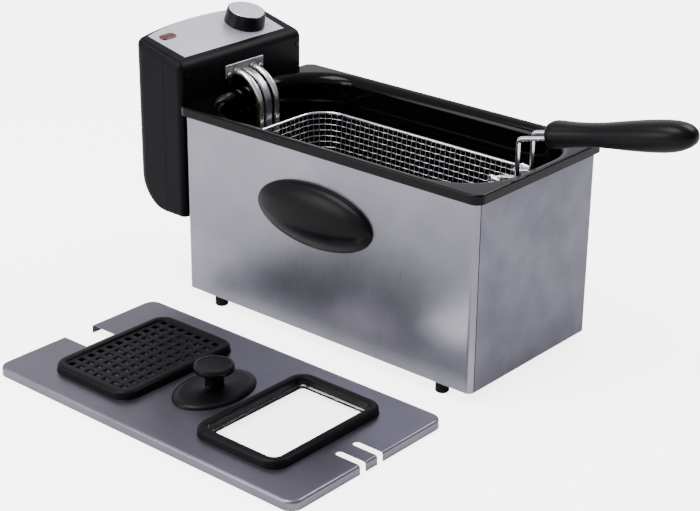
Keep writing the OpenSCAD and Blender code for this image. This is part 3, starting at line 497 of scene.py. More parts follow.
class Casing(Builder):
    """The steel box: its grips and feet."""

    def __init__(self) -> None:
        super().__init__("casing")

    def build(self) -> None:
        """Builds every casing piece."""
        for side, node in ((-1, "left_grip"), (1, "right_grip")):
            self._grip(side, node)
        self._feet()

    def _grip(self, side: int, node: str) -> None:
        """Builds one oval side grip: a hood over a scooped underside."""
        a, b, out, shift, mid = 73.0, 33.0, 18.0, -8.0, 139.0
        cols, rows = (56, 30) if FINE else (28, 16)
        lip_drop = 8.0

        def surface(u: float, v: float) -> Vector:
            # u runs along the oval, v from the lip over the hood to the casing wall
            x = -a * math.cos(math.pi * u)
            half = b * math.sin(math.pi * u)
            t = math.pi / 2 * v
            lip = -lip_drop * math.sin(math.pi * u) ** 2
            z = lip + (half - lip) * math.sin(t)
            y = out * math.sin(math.pi * u) ** 0.9 * math.cos(t) ** 0.85
            return at(shift + x, side * (HY + max(y, 0.0)), mid + z)

        bm = bmesh.new()
        grid = [[bm.verts.new(surface(i / cols, j / rows)) for j in range(rows + 1)] for i in range(cols + 1)]
        for i in range(cols):
            for j in range(rows):
                bm.faces.new((grid[i][j], grid[i + 1][j], grid[i + 1][j + 1], grid[i][j + 1]))
        # underside: from the lip back under, then down the scooped oval to the lower outline
        under = 12 if FINE else 6
        low = []
        for i in range(cols + 1):
            u = i / cols
            line = [grid[i][0]]
            s = math.sin(math.pi * u)
            for k in range(1, under + 1):
                w = k / under
                x = -a * math.cos(math.pi * u)
                y = out * s ** 0.9 * (1 - w ** 1.5) ** 1.2
                lip = -lip_drop * s ** 2
                z = lip - (b * s + lip) * math.sin(math.pi / 2 * w)
                line.append(bm.verts.new(at(shift + x, side * (HY + y), mid + z)))
            low.append(line)
        for i in range(cols):
            for k in range(under):
                bm.faces.new((low[i][k], low[i][k + 1], low[i + 1][k + 1], low[i + 1][k]))
        bmesh.ops.remove_doubles(bm, verts=bm.verts, dist=2e-5)
        bmesh.ops.holes_fill(bm, edges=[e for e in bm.edges if e.is_boundary], sides=0)
        bmesh.ops.recalc_face_normals(bm, faces=bm.faces)
        self.piece(f"{node}_hood", bm, SOFT_BLACK, [node], sharp=50)

    def _feet(self) -> None:
        """Builds the four feet."""
        parts = []
        for sx in (-1, 1):
            for sy in (-1, 1):
                foot = lathe([(0, 5), (4, 5), (4, 0), (6, 0), (6.8, 1.0), (6.8, 12), (0, 12)], 32)
                parts.append(moved(foot, Matrix.Translation(at(sx * (HX - 39), sy * (HY - 9), 0))))
        self.piece("rubber_feet", merged(parts), RUBBER, ["feet"])


class Pot(Builder):
    """The black enamelled oil pot and its broad rim."""

    def __init__(self) -> None:
        super().__init__("pot")

    def build(self) -> None:
        """Builds the pot as one skin of sheet."""
        cx, cy, base, floor, t = POT_CX, POT_CY, 57.0, 38.5, 1.2
        outer_s = RIM_HX - cx
        n = 16 if FINE else 8
        lip = 8 if FINE else 5
        edge = 1.6

        def skin(d: float) -> list[tuple[float, float]]:
            # profile offset inwards by d from the visible side
            lines = [(71.0, RIM_Z - d)]
            lines += arc(71, RIM_Z - 11, 11 - d, 90, 180, lip)[1:]
            lines += arc(base - 18, floor + 18, 18 + d, 0, -90, lip)
            return lines + [(2.0, floor - d)]

        inner, outside = skin(0), skin(t)

        # rim: the rectangle's outer corners are tighter than the opening's, so its rings blend
        def rim_ring(hx: float, hy: float, r: float, z: float) -> Ring:
            return [at(x, y, z) for x, y in rounded_rect(hx, hy, r, n)]

        def wall_ring(s: float, z: float) -> Ring:
            return [at(x, y, z) for x, y in rounded_rect(cx + s, cy + s, max(s, 0.01), n)]

        rings = [wall_ring(s, z) for s, z in reversed(inner)]
        rings += [rim_ring(RIM_HX - edge, RIM_HY - edge, 10 - edge, RIM_Z)]
        rings += [rim_ring(RIM_HX - edge + edge * math.sin(a), RIM_HY - edge + edge * math.sin(a),
                           10 - edge + edge * math.sin(a), RIM_Z - edge + edge * math.cos(a))
                  for a in (math.pi / 8 * k for k in range(1, 5))]
        rings += [rim_ring(RIM_HX, RIM_HY, 10, 202), rim_ring(RIM_HX - t, RIM_HY - t, 10 - t, 202),
                  rim_ring(RIM_HX - t, RIM_HY - t, 10 - t, RIM_Z - t)]
        rings += [wall_ring(s, z) for s, z in outside]
        mesh = loft(rings, start=True, end=True)
        self.piece("enamel_pot", mesh, ENAMEL, ["oil_pot"], sharp=40)
        lines = []
        for z in (96.0, 150.0):
            bm = bmesh.new()
            y = -(cy + base + (60 - base) * (z - 56) / 144.5) + 0.5
            tube(bm, [at(-70, y, z), at(70, y, z)], 0.7, 8)
            lines.append(bm)
        self.piece("fill_marks", merged(lines), ENAMEL)


class Head(Builder):
    """The control head: shells, plate, lens, element and sensor."""

    def __init__(self) -> None:
        super().__init__("head")

    def build(self) -> None:
        """Builds every head piece."""
        self._shells()
        self._plate()
        self._element()
        self._face()

    def _plan(self, inset: float, rear: float, n: int) -> list[tuple[float, float]]:
        # D-shaped plan, counter-clockwise from the front right corner
        x1, hw = FACE_X - inset, HEAD_W / 2 - inset
        bow = (HEAD_W / 2) ** 2 / 2 / 12 + 6
        apex = FACE_X - HEAD_D + inset + rear
        rf, rr = max(7 - inset, 0.4), max(14 - inset, 0.4)
        half = math.asin(min((hw - rr) / (bow - inset - rr), 0.99))
        cx = apex + (bow - inset)
        corner_x = cx - (bow - inset - rr) * math.cos(half)
        pts = arc(x1 - rf, hw - rf, rf, 0, 90, n)
        pts += arc(corner_x, hw - rr, rr, 90, 180 - math.degrees(half), n)
        pts += arc(cx, 0, bow - inset, 180 - math.degrees(half), 180 + math.degrees(half), 3 * n)[1:-1]
        pts += arc(corner_x, -(hw - rr), rr, 180 + math.degrees(half), 270, n)
        pts += arc(x1 - rf, -(hw - rf), rf, 270, 360, n)
        return pts

    def _shells(self) -> None:
        """Builds the rear shell and the front cover from one outline."""
        n = 10 if FINE else 5
        top_r, low_r, heel = 8.0, 4.0, 36.0
        rings: list[Ring] = []
        steps = 12 if FINE else 6
        heights = [low_r * (1 - math.cos(math.pi / 2 * k / 4)) for k in range(5)]
        rise = [heel * (1 - math.cos(math.pi / 2 * k / steps)) for k in range(1, steps + 1)]
        heights += [h for h in rise if h > low_r + 0.5]
        for h in heights:
            inset = low_r - math.sqrt(max(low_r ** 2 - (low_r - h) ** 2, 0)) if h < low_r else 0.0
            rear = heel - math.sqrt(max(heel ** 2 - (heel - h) ** 2, 0)) if h < heel else 0.0
            rings.append([at(x, y, HEAD_Z0 + h) for x, y in self._plan(inset, rear, n)])
        for k in range(9):
            a = math.pi / 2 * k / 8
            inset, drop = top_r * (1 - math.cos(a)), top_r * (1 - math.sin(a))
            rings.append([at(x, y, panel_z(x) - drop) for x, y in self._plan(inset, 0, n)])
        for name, node, keep in (("head_shell_rear", "head_rear_shell", 1),
                                 ("head_shell_front", "head_front_cover", -1)):
            bm = loft(rings, start=True, end=True)
            gap = 0.15 if keep > 0 else -0.15
            bmesh.ops.bisect_plane(bm, geom=bm.verts[:] + bm.edges[:] + bm.faces[:],
                                   plane_co=at(PARTING_X - gap, 0, 0), plane_no=(keep, 0, 0), clear_outer=True)
            obj = self.piece(name, bm, SHELL, [node], sharp=32)
            obj.modifiers.clear()
            solid = obj.modifiers.new("wall", "SOLIDIFY")
            solid.thickness, solid.offset, solid.use_even_offset = 0.0025, -1, False
            self.bake(obj)
            if keep < 0:
                self._pocket(obj)

    def _pocket(self, obj: bpy.types.Object) -> None:
        """Opens the front cover for the rail and lines the opening."""
        top = RIM_Z - 32
        slot = bmesh.new()
        box(slot, at(FACE_X - 3.2, -RAIL_SLOT, HEAD_Z0 - 2), at(FACE_X + 3, RAIL_SLOT, top + 0.6))
        self.cut(obj, slot)
        wide = bmesh.new()
        box(wide, at(FACE_X - 7.7, -RAIL_POCKET, HEAD_Z0 - 2), at(FACE_X - 2.5, RAIL_POCKET, HEAD_Z0 + 5))
        self.cut(obj, wide)
        liner = bmesh.new()
        for y in (-1, 1):
            near, far = sorted((y * RAIL_POCKET, y * (RAIL_POCKET + 2)))
            box(liner, at(FACE_X - 9.6, near, HEAD_Z0 + 4.2), at(FACE_X - 2.5, far, top + 2.6))
        box(liner, at(FACE_X - 9.6, -RAIL_POCKET, HEAD_Z0 + 4.2), at(FACE_X - 7.7, RAIL_POCKET, top + 2.6))
        self.piece("rail_pocket", liner, SHELL)

    def _plate(self) -> None:
        """Builds the silver plate, the lamp's lens and the dial marks."""
        front, side, bow = -11.0, -64.0, 11.0
        wf, wr = 73.5, 76.0
        r_bow = (wr * wr + bow * bow) / 2 / bow
        half = math.asin(wr / r_bow)
        outline = [(front - 0.4, -wf), (front - 0.4, wf)]
        rear = [(side - bow + r_bow - r_bow * math.cos(a), r_bow * math.sin(a))
                for a in (half * (1 - 2 * i / 32) for i in range(33))]
        pts = outline + rear
        bm = bmesh.new()
        face = bm.faces.new([bm.verts.new((x / 1000, y / 1000, 0)) for x, y in pts])
        bmesh.ops.triangulate(bm, faces=[face])
        up = bmesh.ops.extrude_face_region(bm, geom=bm.faces[:])
        raised = [g for g in up["geom"] if isinstance(g, bmesh.types.BMVert)]
        bmesh.ops.translate(bm, verts=raised, vec=(0, 0, 0.00035))
        bmesh.ops.recalc_face_normals(bm, faces=bm.faces)
        self.piece("panel_plate", moved(bm, on_panel(FACE_X, 0, -0.05)), PLATE, ["control_plate"])
        # oval lens with a soft edge
        rings = []
        for inset, z in ((0, -1.0), (0, 0.9), (0.35, 1.35), (1.1, 1.6), (3.4, 1.8)):
            rings.append([Vector((x / 1000, y / 1000, z / 1000))
                          for x, y in rounded_rect(4.8 - inset, 10.5 - inset, 4.7 - inset, 8)])
        lens = moved(loft(rings, start=True, end=True), on_panel(*LENS))
        self.piece("lamp_lens", lens, LENS_RED, ["indicator_lens"])
        # dial marks round the knob
        marks = []
        for k in range(11):
            a = math.radians(-35 + 25 * k + 90)
            bm = bmesh.new()
            long = 2.4 if k % 2 == 0 else 1.4
            box(bm, Vector((0.0246, -0.0003, 0.0003)), Vector((0.0246 + long / 1000, 0.0003, 0.0004)))
            marks.append(moved(bm, on_panel(*KNOB) @ Matrix.Rotation(a, 4, "Z")))
        self.piece("dial_marks", merged(marks), PRINT)

    def _leg(self, y: float) -> list[Vector]:
        """Returns the corners of half the element, from the face to the loop's far end."""
        x, z, loop = LEG_X, LEG_Z, 52.5
        far = POT_CX + 34
        s = 1 if y > 0 else -1
        return [at(FACE_X + 0.5, y, z), at(x, y, z), at(x, y, loop), at(x + 43, y, loop),
                at(x + 43, s * 50, loop), at(far, s * 50, loop), at(far, 0, loop)]

    def _element(self) -> None:
        """Builds the element, its collars and the sensor between its legs."""
        left, right = self._leg(-12), self._leg(12)
        n = 12 if FINE else 6
        radii = [33, 20, 15, 15, 25]
        path = smooth_path(left[:-1] + right[-2::-1], radii + radii[::-1], n)
        bm = bmesh.new()
        tube(bm, path, 3.75, 24 if FINE else 12)
        self.piece("element_tube", bm, ELEMENT, ["heating_element"])
        collars = []
        for y in (-12, 12):
            ring = lathe([(3.6, 0), (5.4, 0), (5.4, 0.8), (4.6, 2.2), (3.6, 2.6)], 24)
            collars.append(moved(ring, on_face(2, y, LEG_Z)))
        self.piece("element_collars", merged(collars), COLLAR)
        # rounded sensor strip between the legs, with a thinner stem under it
        centre = smooth_path([at(FACE_X, 0, LEG_Z), at(LEG_X, 0, LEG_Z), at(LEG_X, 0, 112)], 33, n)
        rings = []
        for i, p in enumerate(centre):
            t = (centre[min(i + 1, len(centre) - 1)] - centre[max(i - 1, 0)]).normalized()
            up = t.cross(Vector((0, 1, 0))).normalized()
            rings.append([p + Vector((0, 1, 0)) * u / 1000 + up * v / 1000
                          for u, v in rounded_rect(4.6, 1.9, 1.7, 5)])
        self.piece("sensor_strip", loft(rings, start=True, end=True), SATIN, ["sensor_cover"])
        stem = bmesh.new()
        tube(stem, [at(LEG_X, 0, 113), at(LEG_X, 0, 70)], 2.2, 16, round_ends=True)
        self.piece("sensor_stem", stem, COPPER, ["sensor_bulb"])

    def _face(self) -> None:
        """Builds what stands on the head's front face."""
        bm = bmesh.new()
        box(bm, at(FACE_X, -28, RIM_Z + 10.5), at(FACE_X + 2, 28, RIM_Z + 24.5), 0.6, 3)
        self.piece("element_flange", bm, SATIN, ["element_plate"])
        heads = []
        for y in (-1, 1):
            heads.append(moved(screw_mesh(2.9, 1.6), on_face(2, y * 23, RIM_Z + 14)))
        self.piece("element_screw_heads", merged(heads), SATIN, ["element_screws"])
        cover = []
        for y in (-1, 1):
            for z in (HEAD_Z0 + 18, RIM_Z + 25):
                cover.append(moved(screw_mesh(2.8, 0.8), on_face(-0.2, y * (HEAD_W / 2 - 9), z)))
        self.piece("cover_screw_heads", merged(cover), FRAME_BLACK, ["cover_screws"])
        boss = bmesh.new()
        box(boss, at(FACE_X - 0.5, -26, RIM_Z + 2.5), at(FACE_X + 3.5, -10, RIM_Z + 9.5), 1.8, 4)
        self.piece("face_boss", boss, SHELL)


class Knob(Builder):
    """The temperature knob."""

    def __init__(self) -> None:
        super().__init__("knob")

    def build(self) -> None:
        """Builds the knob's cap and silver top."""
        sides, place = 96 if FINE else 40, on_panel(*KNOB)
        cap = [(0, 0.6), (21.4, 0.6), (22, 1.2), (21.2, 9.5), (20.9, 13.6), (20.5, 15.1), (19.6, 15.7),
               (19.2, 15.4), (0, 15.4)]
        self.piece("knob_cap", moved(lathe(cap, sides), place), KNOB_BLACK, ["control_knob"], sharp=30)
        top = [(0, 15.2), (19.1, 15.2), (19.1, 15.8), (18.8, 16.05), (0, 16.1)]
        self.piece("knob_top", moved(lathe(top, sides), place), PLATE, ["knob_insert"])


class Basket(Builder):
    """The wire basket."""

    def __init__(self) -> None:
        super().__init__("basket")

    def build(self) -> None:
        """Builds the rim, the woven mesh and the handle bracket."""
        x0, x1 = FACE_X + 35 + 3.75 + 9, HX - 25
        self.cx, self.hx, self.hy = (x0 + x1) / 2, (x1 - x0) / 2, 69.0
        self.r, self.top, self.low = 30.0, BASKET_Z, 63.0
        rim = bmesh.new()
        ring = [at(self.cx + x, y, self.top) for x, y in rounded_rect(self.hx, self.hy, self.r, 12)]
        tube(rim, ring, 1.6, 12, loop=True)
        self.piece("rim_wire", rim, WIRE, ["basket_rim"])
        self._mesh()
        self._bracket(x1)

    def _inset(self, z: float) -> float:
        # how far the wall leans in at height z
        share = (self.top - z) / (self.top - self.low)
        lean = 10 * share
        foot = 12.0
        h = z - self.low
        if h < foot:
            lean += foot - math.sqrt(max(foot ** 2 - (foot - h) ** 2, 0))
        return lean

    def _columns(self, pitch: float) -> list[tuple[float, float, float, float]]:
        # places round the rim, anticlockwise, each with the wall's outward normal
        hx, hy, r = self.hx, self.hy, self.r
        found = []
        for (nx, ny), half in (((0, -1), hx - r), ((1, 0), hy - r), ((0, 1), hx - r), ((-1, 0), hy - r)):
            tx, ty = -ny, nx
            px, py = nx * hx, ny * hy
            count = int(2 * half / pitch)
            for i in range(count + 1):
                step = half * (2 * i / count - 1)
                found.append((px + tx * step, py + ty * step, nx, ny))
            turns = max(int(r * math.pi / 2 / pitch), 2)
            cx, cy = px + tx * half - nx * r, py + ty * half - ny * r
            for k in range(1, turns):
                a = math.pi / 2 * k / turns
                mx, my = nx * math.cos(a) + tx * math.sin(a), ny * math.cos(a) + ty * math.sin(a)
                found.append((cx + mx * r, cy + my * r, mx, my))
        return found

    def _mesh(self) -> None:
        """Weaves level and upright wires, each crimped over and under the other."""
        pitch, wire, crimp, sides = (6.2 if FINE else 14.0), 0.42, 0.5, 5
        columns = self._columns(pitch)
        rows = [self.top - k * pitch for k in range(1, int((self.top - self.low - 12) / pitch) + 1)]
        bm = bmesh.new()

        def point(column: tuple[float, float, float, float], z: float, out: float) -> Vector:
            x, y, nx, ny = column
            d = self._inset(z) - out
            return at(self.cx + x - nx * d, y - ny * d, z)

        def middle(one: Vector, two: Vector) -> Vector:
            return (one + two) / 2

        for k, z in enumerate(rows):
            over = [point(c, z, crimp * (-1) ** (i + k)) for i, c in enumerate(columns)]
            ring = [p for one, two in zip(over, over[1:] + over[:1]) for p in (one, middle(one, two))]
            tube(bm, ring, wire, sides, loop=True)
        feet = [self.low + 12, self.low + 5, self.low + 1.6, self.low + 0.2]

        def down(i: int) -> list[Vector]:
            c = columns[i]
            path = [point(c, self.top - 0.4, 0.0)]
            path += [point(c, z, -crimp * (-1) ** (i + k)) for k, z in enumerate(rows)]
            return path + [point(c, z, 0.0) for z in feet]

        for i, (x, y, nx, ny) in enumerate(columns):
            if nx and ny:
                tube(bm, down(i), wire, sides)
            elif nx > 0 or ny > 0:
                # the wire runs on under the basket and up the far wall
                other = min(range(len(columns)), key=lambda j: abs(columns[j][0] - (x if ny else -x))
                            + abs(columns[j][1] - (-y if ny else y)))
                tube(bm, down(i) + down(other)[::-1], wire, sides)
        self.piece("wire_mesh", bm, MESH_WIRE, ["basket_mesh"], sharp=80)

    def _bracket(self, x1: float) -> None:
        """Builds the handle's two posts and hinge eyes."""
        post = x1 - 3.2
        run = HINGE_Z + (post - HINGE_X) * math.tan(TILT)
        bm = bmesh.new()
        low = self.top - 4
        for s in (-1, 1):
            y = s * 23.6
            path = smooth_path([at(post, 0, low), at(post, y, low), at(post, y, run),
                                at(HINGE_X + 2, y, HINGE_Z + 4.0)], 3.5, 6)
            tube(bm, path, 1.5, 14, round_ends=True)
            eye = [at(HINGE_X + 4.1 * math.cos(a), s * 21.0, HINGE_Z + 4.1 * math.sin(a))
                   for a in (2 * math.pi * k / 24 for k in range(24))]
            tube(bm, eye, 1.5, 12, loop=True)
        self.piece("handle_bracket", bm, WIRE, ["basket_bracket"])


class Handle(Builder):
    """The folding basket handle."""

    def __init__(self) -> None:
        super().__init__("basket_handle")

    def build(self) -> None:
        """Builds the two wires and the grip."""
        rise = math.tan(TILT)
        low = HINGE_Z + (HANDLE_X - HINGE_X) * rise
        top = RIM_Z + 26
        bm = bmesh.new()
        for s in (-1, 1):
            y = s * HANDLE_Y
            end = at(GRIP_X0 + 20, y, top + (GRIP_X0 + 20 - HANDLE_X) * rise)
            path = smooth_path([at(HINGE_X, s * 21.8, HINGE_Z), at(HINGE_X, y, HINGE_Z), at(HANDLE_X, y, low),
                                at(HANDLE_X, y, top), end], [4, 4, 5.5], 8)
            tube(bm, path, 2.25, 20 if FINE else 10, round_ends=True)
        self.piece("handle_rods", bm, WIRE, ["handle_wires"])
        self._grip(top)

    def _grip(self, top: float) -> None:
        """A soft tapered grip with a flared collar and a round end."""
        stations = [(0.0, 10.0), (0.6, 11.4), (2.0, 12.3), (5, 12.6), (9, 12.3), (16, 11.6), (26, 10.9),
                    (40, 10.5), (55, 10.8), (70, 11.8), (85, 12.9), (100, 13.7), (112, 14.0), (122, 13.9), (130, 13.3),
                    (137, 12.0), (143, 9.9), (147, 7.5), (149.6, 4.4), (150.3, 0.8)]
        n = 40 if FINE else 20
        rings = []
        for x, r in stations:
            flat = 2.8 * min(r / 11.0, 1.0)
            ring = []
            for k in range(n):
                c, d = (turn(2 * math.pi * k / n) for turn in (math.cos, math.sin))
                wide = r * d + math.copysign(flat, d) * min(1, abs(d) * 3)
                ring.append(Vector((-r * c / 1000, wide / 1000, x / 1000)))
            rings.append(ring)
        bm = loft(rings, start=True, end=True)
        z0 = top + (GRIP_X0 - HANDLE_X) * math.tan(TILT) + 1
        droop = math.radians(1.6)
        m = Matrix.Translation(at(GRIP_X0, 0, z0)) @ Matrix.Rotation(math.pi / 2 - TILT + droop, 4, "Y")
        self.piece("soft_grip", moved(bm, m), SOFT_BLACK, ["handle_grip"], sharp=60)


class Lid(Builder):
    """The lid that lies beside the fryer."""

    def __init__(self) -> None:
        super().__init__("lid")

    def build(self) -> None:
        """Builds the lid's sheet, frames, window and knob."""
        self._sheet()
        self._frame(FRAME_AT, "window_surround", "window_frame")
        self._frame(-FRAME_AT, "filter_surround", "filter_cover")
        self._vents()
        self._window()
        self._knob()

    def _sheet(self) -> None:
        """Builds the lid's sheet and cuts its notch, slots and openings."""
        s, edge, t = 12.0, 3.0, 0.8
        n = 10 if FINE else 5
        cx, cy = LID_HX - s, LID_HY - s
        outer = [(s - edge - 6, LID_H)] + arc(s - edge, LID_H - edge, edge, 90, 0, 5) + [(s, 0)]
        inner = [(s - t, 0)] + arc(s - edge, LID_H - edge, edge - t, 0, 90, 5) + [(s - edge - 6, LID_H - t)]
        bm = frame_sweep(outer + inner, cx, cy, n, (LID_X, LID_Y, 0), closed=False, start=True, end=True)
        obj = self.piece("lid_sheet", bm, SHADED_LID_STEEL, ["lid_plate"], sharp=40)
        cutters = bmesh.new()
        box(cutters, at(LID_X - LID_HX - 5, LID_Y - 18.7, -2), at(LID_X - 158, LID_Y + 18.7, 20), 0)
        self.cut(obj, cutters)
        for y in (-HANDLE_Y, HANDLE_Y):
            pts = [(60, -SLOT_R), (60, SLOT_R)] + arc(SLOT_END, 0, SLOT_R, 90, 270, 10)
            loop, top = ([at(LID_X + HANDLE_X + x, LID_Y + y + across, z) for x, across in pts]
                         for z in (-2, 20))
            self.cut(obj, loft([loop, top], start=True, end=True))
        for sx in (-1, 1):
            loop = [at(LID_X + sx * FRAME_AT + x, LID_Y + y, -2) for x, y in rounded_rect(42, 64, 6, 6)]
            top = [v + Vector((0, 0, 0.03)) for v in loop]
            self.cut(obj, loft([loop, top], start=True, end=True))

    def _frame(self, x: float, name: str, node: str) -> None:
        """Builds one low frame: a sloped outside, a round top and a short inner wall."""
        cx, cy = 53 - 18, 75 - 18
        z = LID_H
        profile = [(7.4, z + 0.1), (18, z + 0.1), (17.4, z + 1.6)]
        profile += arc(13.4, z + 4.0, 4.0, 20, 80, 6) + arc(10.2, z + 5.6, 2.2, 95, 175, 6)
        bm = frame_sweep(profile, cx, cy, 12 if FINE else 6, (LID_X + x, LID_Y, 0))
        self.piece(name, bm, FRAME_BLACK, [node], sharp=50)

    def _vents(self) -> None:
        """Builds the filter cover's plate as a grid of bars, so that its holes are open."""
        z1 = LID_H + 6.4
        hx, hy, cols, rows, pitch, hole = 43.5, 65.5, 7, 11, 12.0, 6.4
        bm = bmesh.new()

        def cuts(half: float, count: int) -> list[float]:
            return sorted([-half, half] + [(i - (count - 1) / 2) * pitch + s * hole / 2
                                           for i in range(count) for s in (-1, 1)])

        xs, ys = cuts(hx, cols), cuts(hy, rows)
        grid = {(i, j): bm.verts.new(at(LID_X - FRAME_AT + x, LID_Y + y, z1))
                for i, x in enumerate(xs) for j, y in enumerate(ys)}
        for i in range(len(xs) - 1):
            for j in range(len(ys) - 1):
                if i % 2 and j % 2:
                    continue
                bm.faces.new((grid[i, j], grid[i + 1, j], grid[i + 1, j + 1], grid[i, j + 1]))
        obj = self.piece("vent_plate", bm, FRAME_BLACK, [], sharp=30)
        solid = obj.modifiers.new("depth", "SOLIDIFY")
        solid.thickness, solid.offset = 0.0022, -1
        soft = obj.modifiers.new("edge", "BEVEL")
        soft.width, soft.segments, soft.limit_method = 0.0009, 2, "ANGLE"

    def _window(self) -> None:
        """Builds the pane under the window frame."""
        low = [at(LID_X + FRAME_AT + x, LID_Y + y, LID_H - 2.2) for x, y in rounded_rect(41.6, 63.6, 5.6, 6)]
        high = [v + Vector((0, 0, 0.0021)) for v in low]
        self.piece("window_pane", loft([low, high], start=True, end=True), GLASS, ["window_glass"])

    def _knob(self) -> None:
        """Builds the lid knob's oval foot and its cap."""
        base = lathe([(0, 0.1), (45.5, 0.1), (46, 0.6), (45.2, 2.2), (42, 3.4), (36, 3.9), (14, 4.2),
                      (10.5, 5.5), (9.6, 8), (0, 8)], 72 if FINE else 36)
        bmesh.ops.transform(base, matrix=Matrix.Diagonal((0.695, 1, 1, 1)), verts=base.verts)
        place = Matrix.Translation(at(LID_X, LID_Y, LID_H))
        self.piece("lid_knob_foot", moved(base, place), KNOB_BLACK, ["lid_knob_base"], sharp=45)
        cap = [(0, 4), (9.3, 4), (9.0, 12), (9.4, 17), (11.5, 19.6), (17.2, 20.6), (19.0, 21.6), (19.5, 23.2),
               (19.4, 25.6), (18.6, 26.9), (16.8, 27.4), (15.6, 26.7), (0, 26.4)]
        self.piece("lid_knob_cap", moved(lathe(cap, 64 if FINE else 32), place), KNOB_BLACK, ["lid_knob"], sharp=40)


CAD_FINISH: dict[str, Finish] = {
    "left_casing_sheet": STEEL, "front_casing_sheet": SHADED_END_STEEL, "base_plate": STEEL, "foot_screws": SATIN,
    "foot_nuts": SATIN, "rim_frame": FRAME_BLACK, "grip_screws": SATIN, "head_rail": FRAME_BLACK,
    "rail_screws": SATIN, "indicator_lamp": CERAMIC, "thermostat": CERAMIC, "thermal_cutout": DARK,
    "interlock_switch": DARK, "terminal_block": CERAMIC, "cord_gland": FRAME_BLACK,
    "thermostat_spindle": SATIN, "reset_button": RED, "grease_filter": FILTER, "window_retainer": FRAME_BLACK,
    "lid_knob_screw": SATIN,
}


def finish_cad() -> None:
    """Gives every CAD node that is still shown its procedural finish."""
    for name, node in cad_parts.items():
        if name in CAD_FINISH:
            node.data.materials.clear()
            node.data.materials.append(CAD_FINISH[name].material())
            for poly in node.data.polygons:
                poly.use_smooth = True
            node.data.set_sharp_from_angle(angle=math.radians(30))


FLOOR_GLOW_DIM = 0.15
FLOOR_GLOW_SEEN = 4.0


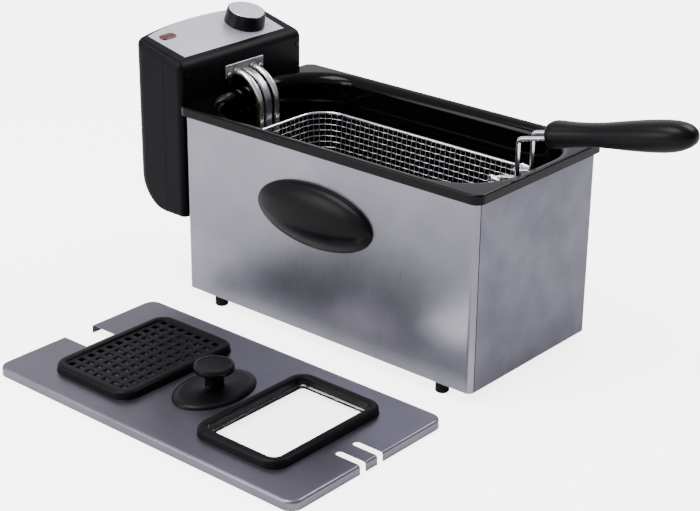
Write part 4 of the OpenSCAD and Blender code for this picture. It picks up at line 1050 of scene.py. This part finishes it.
@dataclass
class Studio:
    """Floor, lights and camera.

    Args:
        lens: focal length in mm on a 36 mm sensor.
        azimuth, elevation, roll: the camera's direction, in degrees.
        spot: the camera's place, in mm from the fryer's centre.
    """

    lens: float = 89.6
    azimuth: float = 40.6
    elevation: float = 23.24
    roll: float = 0.56
    spot: tuple[float, float, float] = (1031.8, -1255.3, 766.8)

    def build(self) -> None:
        """Makes the whole studio."""
        self._floor()
        self._lights()
        self._camera()

    def _floor(self) -> None:
        """Makes the plain floor."""
        bm = bmesh.new()
        half = 6.0
        corners = ((-half, -half), (half, -half), (half, half), (-half, half))
        bm.faces.new([bm.verts.new((x, y, -0.0002)) for x, y in corners])
        mesh = bpy.data.meshes.new("floor")
        bm.to_mesh(mesh)
        bm.free()
        floor = bpy.data.objects.new("floor", mesh)
        bpy.context.scene.collection.objects.link(floor)
        pale = Finish("pale_floor", "fafafa", 0.95, grain=Grain.NONE, tone=0.0, shine=0.0).material()
        glow = pale.node_tree.nodes["Principled BSDF"]
        glow.inputs["Emission Color"].default_value = (1, 1, 1, 1)
        # the floor reads pale to the eye, but throws less light into the steel
        rays = pale.node_tree.nodes.new("ShaderNodeLightPath")
        seen = pale.node_tree.nodes.new("ShaderNodeMath")
        seen.operation = "MAXIMUM"
        power = pale.node_tree.nodes.new("ShaderNodeMapRange")
        for key, value in (("To Min", FLOOR_GLOW_DIM), ("To Max", FLOOR_GLOW_SEEN)):
            power.inputs[key].default_value = value
        link = pale.node_tree.links.new
        link(rays.outputs["Is Camera Ray"], seen.inputs[0])
        link(rays.outputs["Is Transmission Ray"], seen.inputs[1])
        link(seen.outputs[0], power.inputs["Value"])
        link(power.outputs["Result"], glow.inputs["Emission Strength"])
        mesh.materials.append(pale)

    def _area(self, name: str, place: tuple[float, float, float], aim: tuple[float, float, float],
              size: tuple[float, float], power: float) -> None:
        data = bpy.data.lights.new(name, "AREA")
        data.shape, data.size, data.size_y, data.energy = "RECTANGLE", *size, power
        lamp = bpy.data.objects.new(name, data)
        bpy.context.scene.collection.objects.link(lamp)
        lamp.location = place
        lamp.rotation_mode = "QUATERNION"
        lamp.rotation_quaternion = (Vector(aim) - Vector(place)).to_track_quat("-Z", "Y")

    def _lights(self) -> None:
        """Makes the world and the three soft lights."""
        world = bpy.data.worlds.new("studio")
        bpy.context.scene.world = world
        world.use_nodes = True
        tree = world.node_tree
        sky = tree.nodes["Background"]
        sky.inputs["Color"].default_value = (0.94, 0.94, 1.0, 1)
        # the room is darker towards +X
        place = tree.nodes.new("ShaderNodeTexCoord")
        across = tree.nodes.new("ShaderNodeVectorMath")
        across.operation = "DOT_PRODUCT"
        across.inputs[1].default_value = (1.0, 0.2, -0.2)
        span = tree.nodes.new("ShaderNodeMapRange")
        for key, value in (("From Min", -0.2), ("From Max", 0.9), ("To Min", 1.15), ("To Max", 0.3)):
            span.inputs[key].default_value = value
        tree.links.new(place.outputs["Generated"], across.inputs[0])
        tree.links.new(across.outputs["Value"], span.inputs["Value"])
        tree.links.new(span.outputs["Result"], sky.inputs["Strength"])
        self._area("key", (-0.5, -0.8, 2.3), (0, 0, 0.1), (1.4, 1.0), 60)
        self._area("left_front", (-1.3, -2.3, 1.2), (0, 0, 0.1), (1.2, 1.2), 40)
        self._area("rim", (0.4, 1.6, 1.8), (0, 0, 0.15), (1.6, 0.5), 30)

    def _camera(self) -> None:
        """Makes the camera."""
        az, el, roll = (math.radians(a) for a in (self.azimuth, self.elevation, self.roll))
        back = Vector((math.sin(az) * math.cos(el), -math.cos(az) * math.cos(el), math.sin(el)))
        right = Vector((math.cos(az), math.sin(az), 0))
        up = back.cross(right)
        side = right * math.cos(roll) + up * math.sin(roll)
        above = up * math.cos(roll) - right * math.sin(roll)
        data = bpy.data.cameras.new("camera")
        data.lens, data.sensor_width = self.lens, 36.0
        cam = bpy.data.objects.new("camera", data)
        bpy.context.scene.collection.objects.link(cam)
        turn = Matrix((side, above, back)).transposed().to_4x4()
        cam.matrix_world = Matrix.Translation(at(*self.spot)) @ turn
        data.clip_start, data.clip_end = 0.05, 30
        bpy.context.scene.camera = cam


def main() -> None:
    """Builds every sub-assembly, then the studio."""
    for kind in (Casing, Pot, Head, Knob, Basket, Handle, Lid):
        kind().build()
    finish_cad()
    Studio().build()
    bpy.context.view_layer.update()


if __name__ == "__main__":
    main()
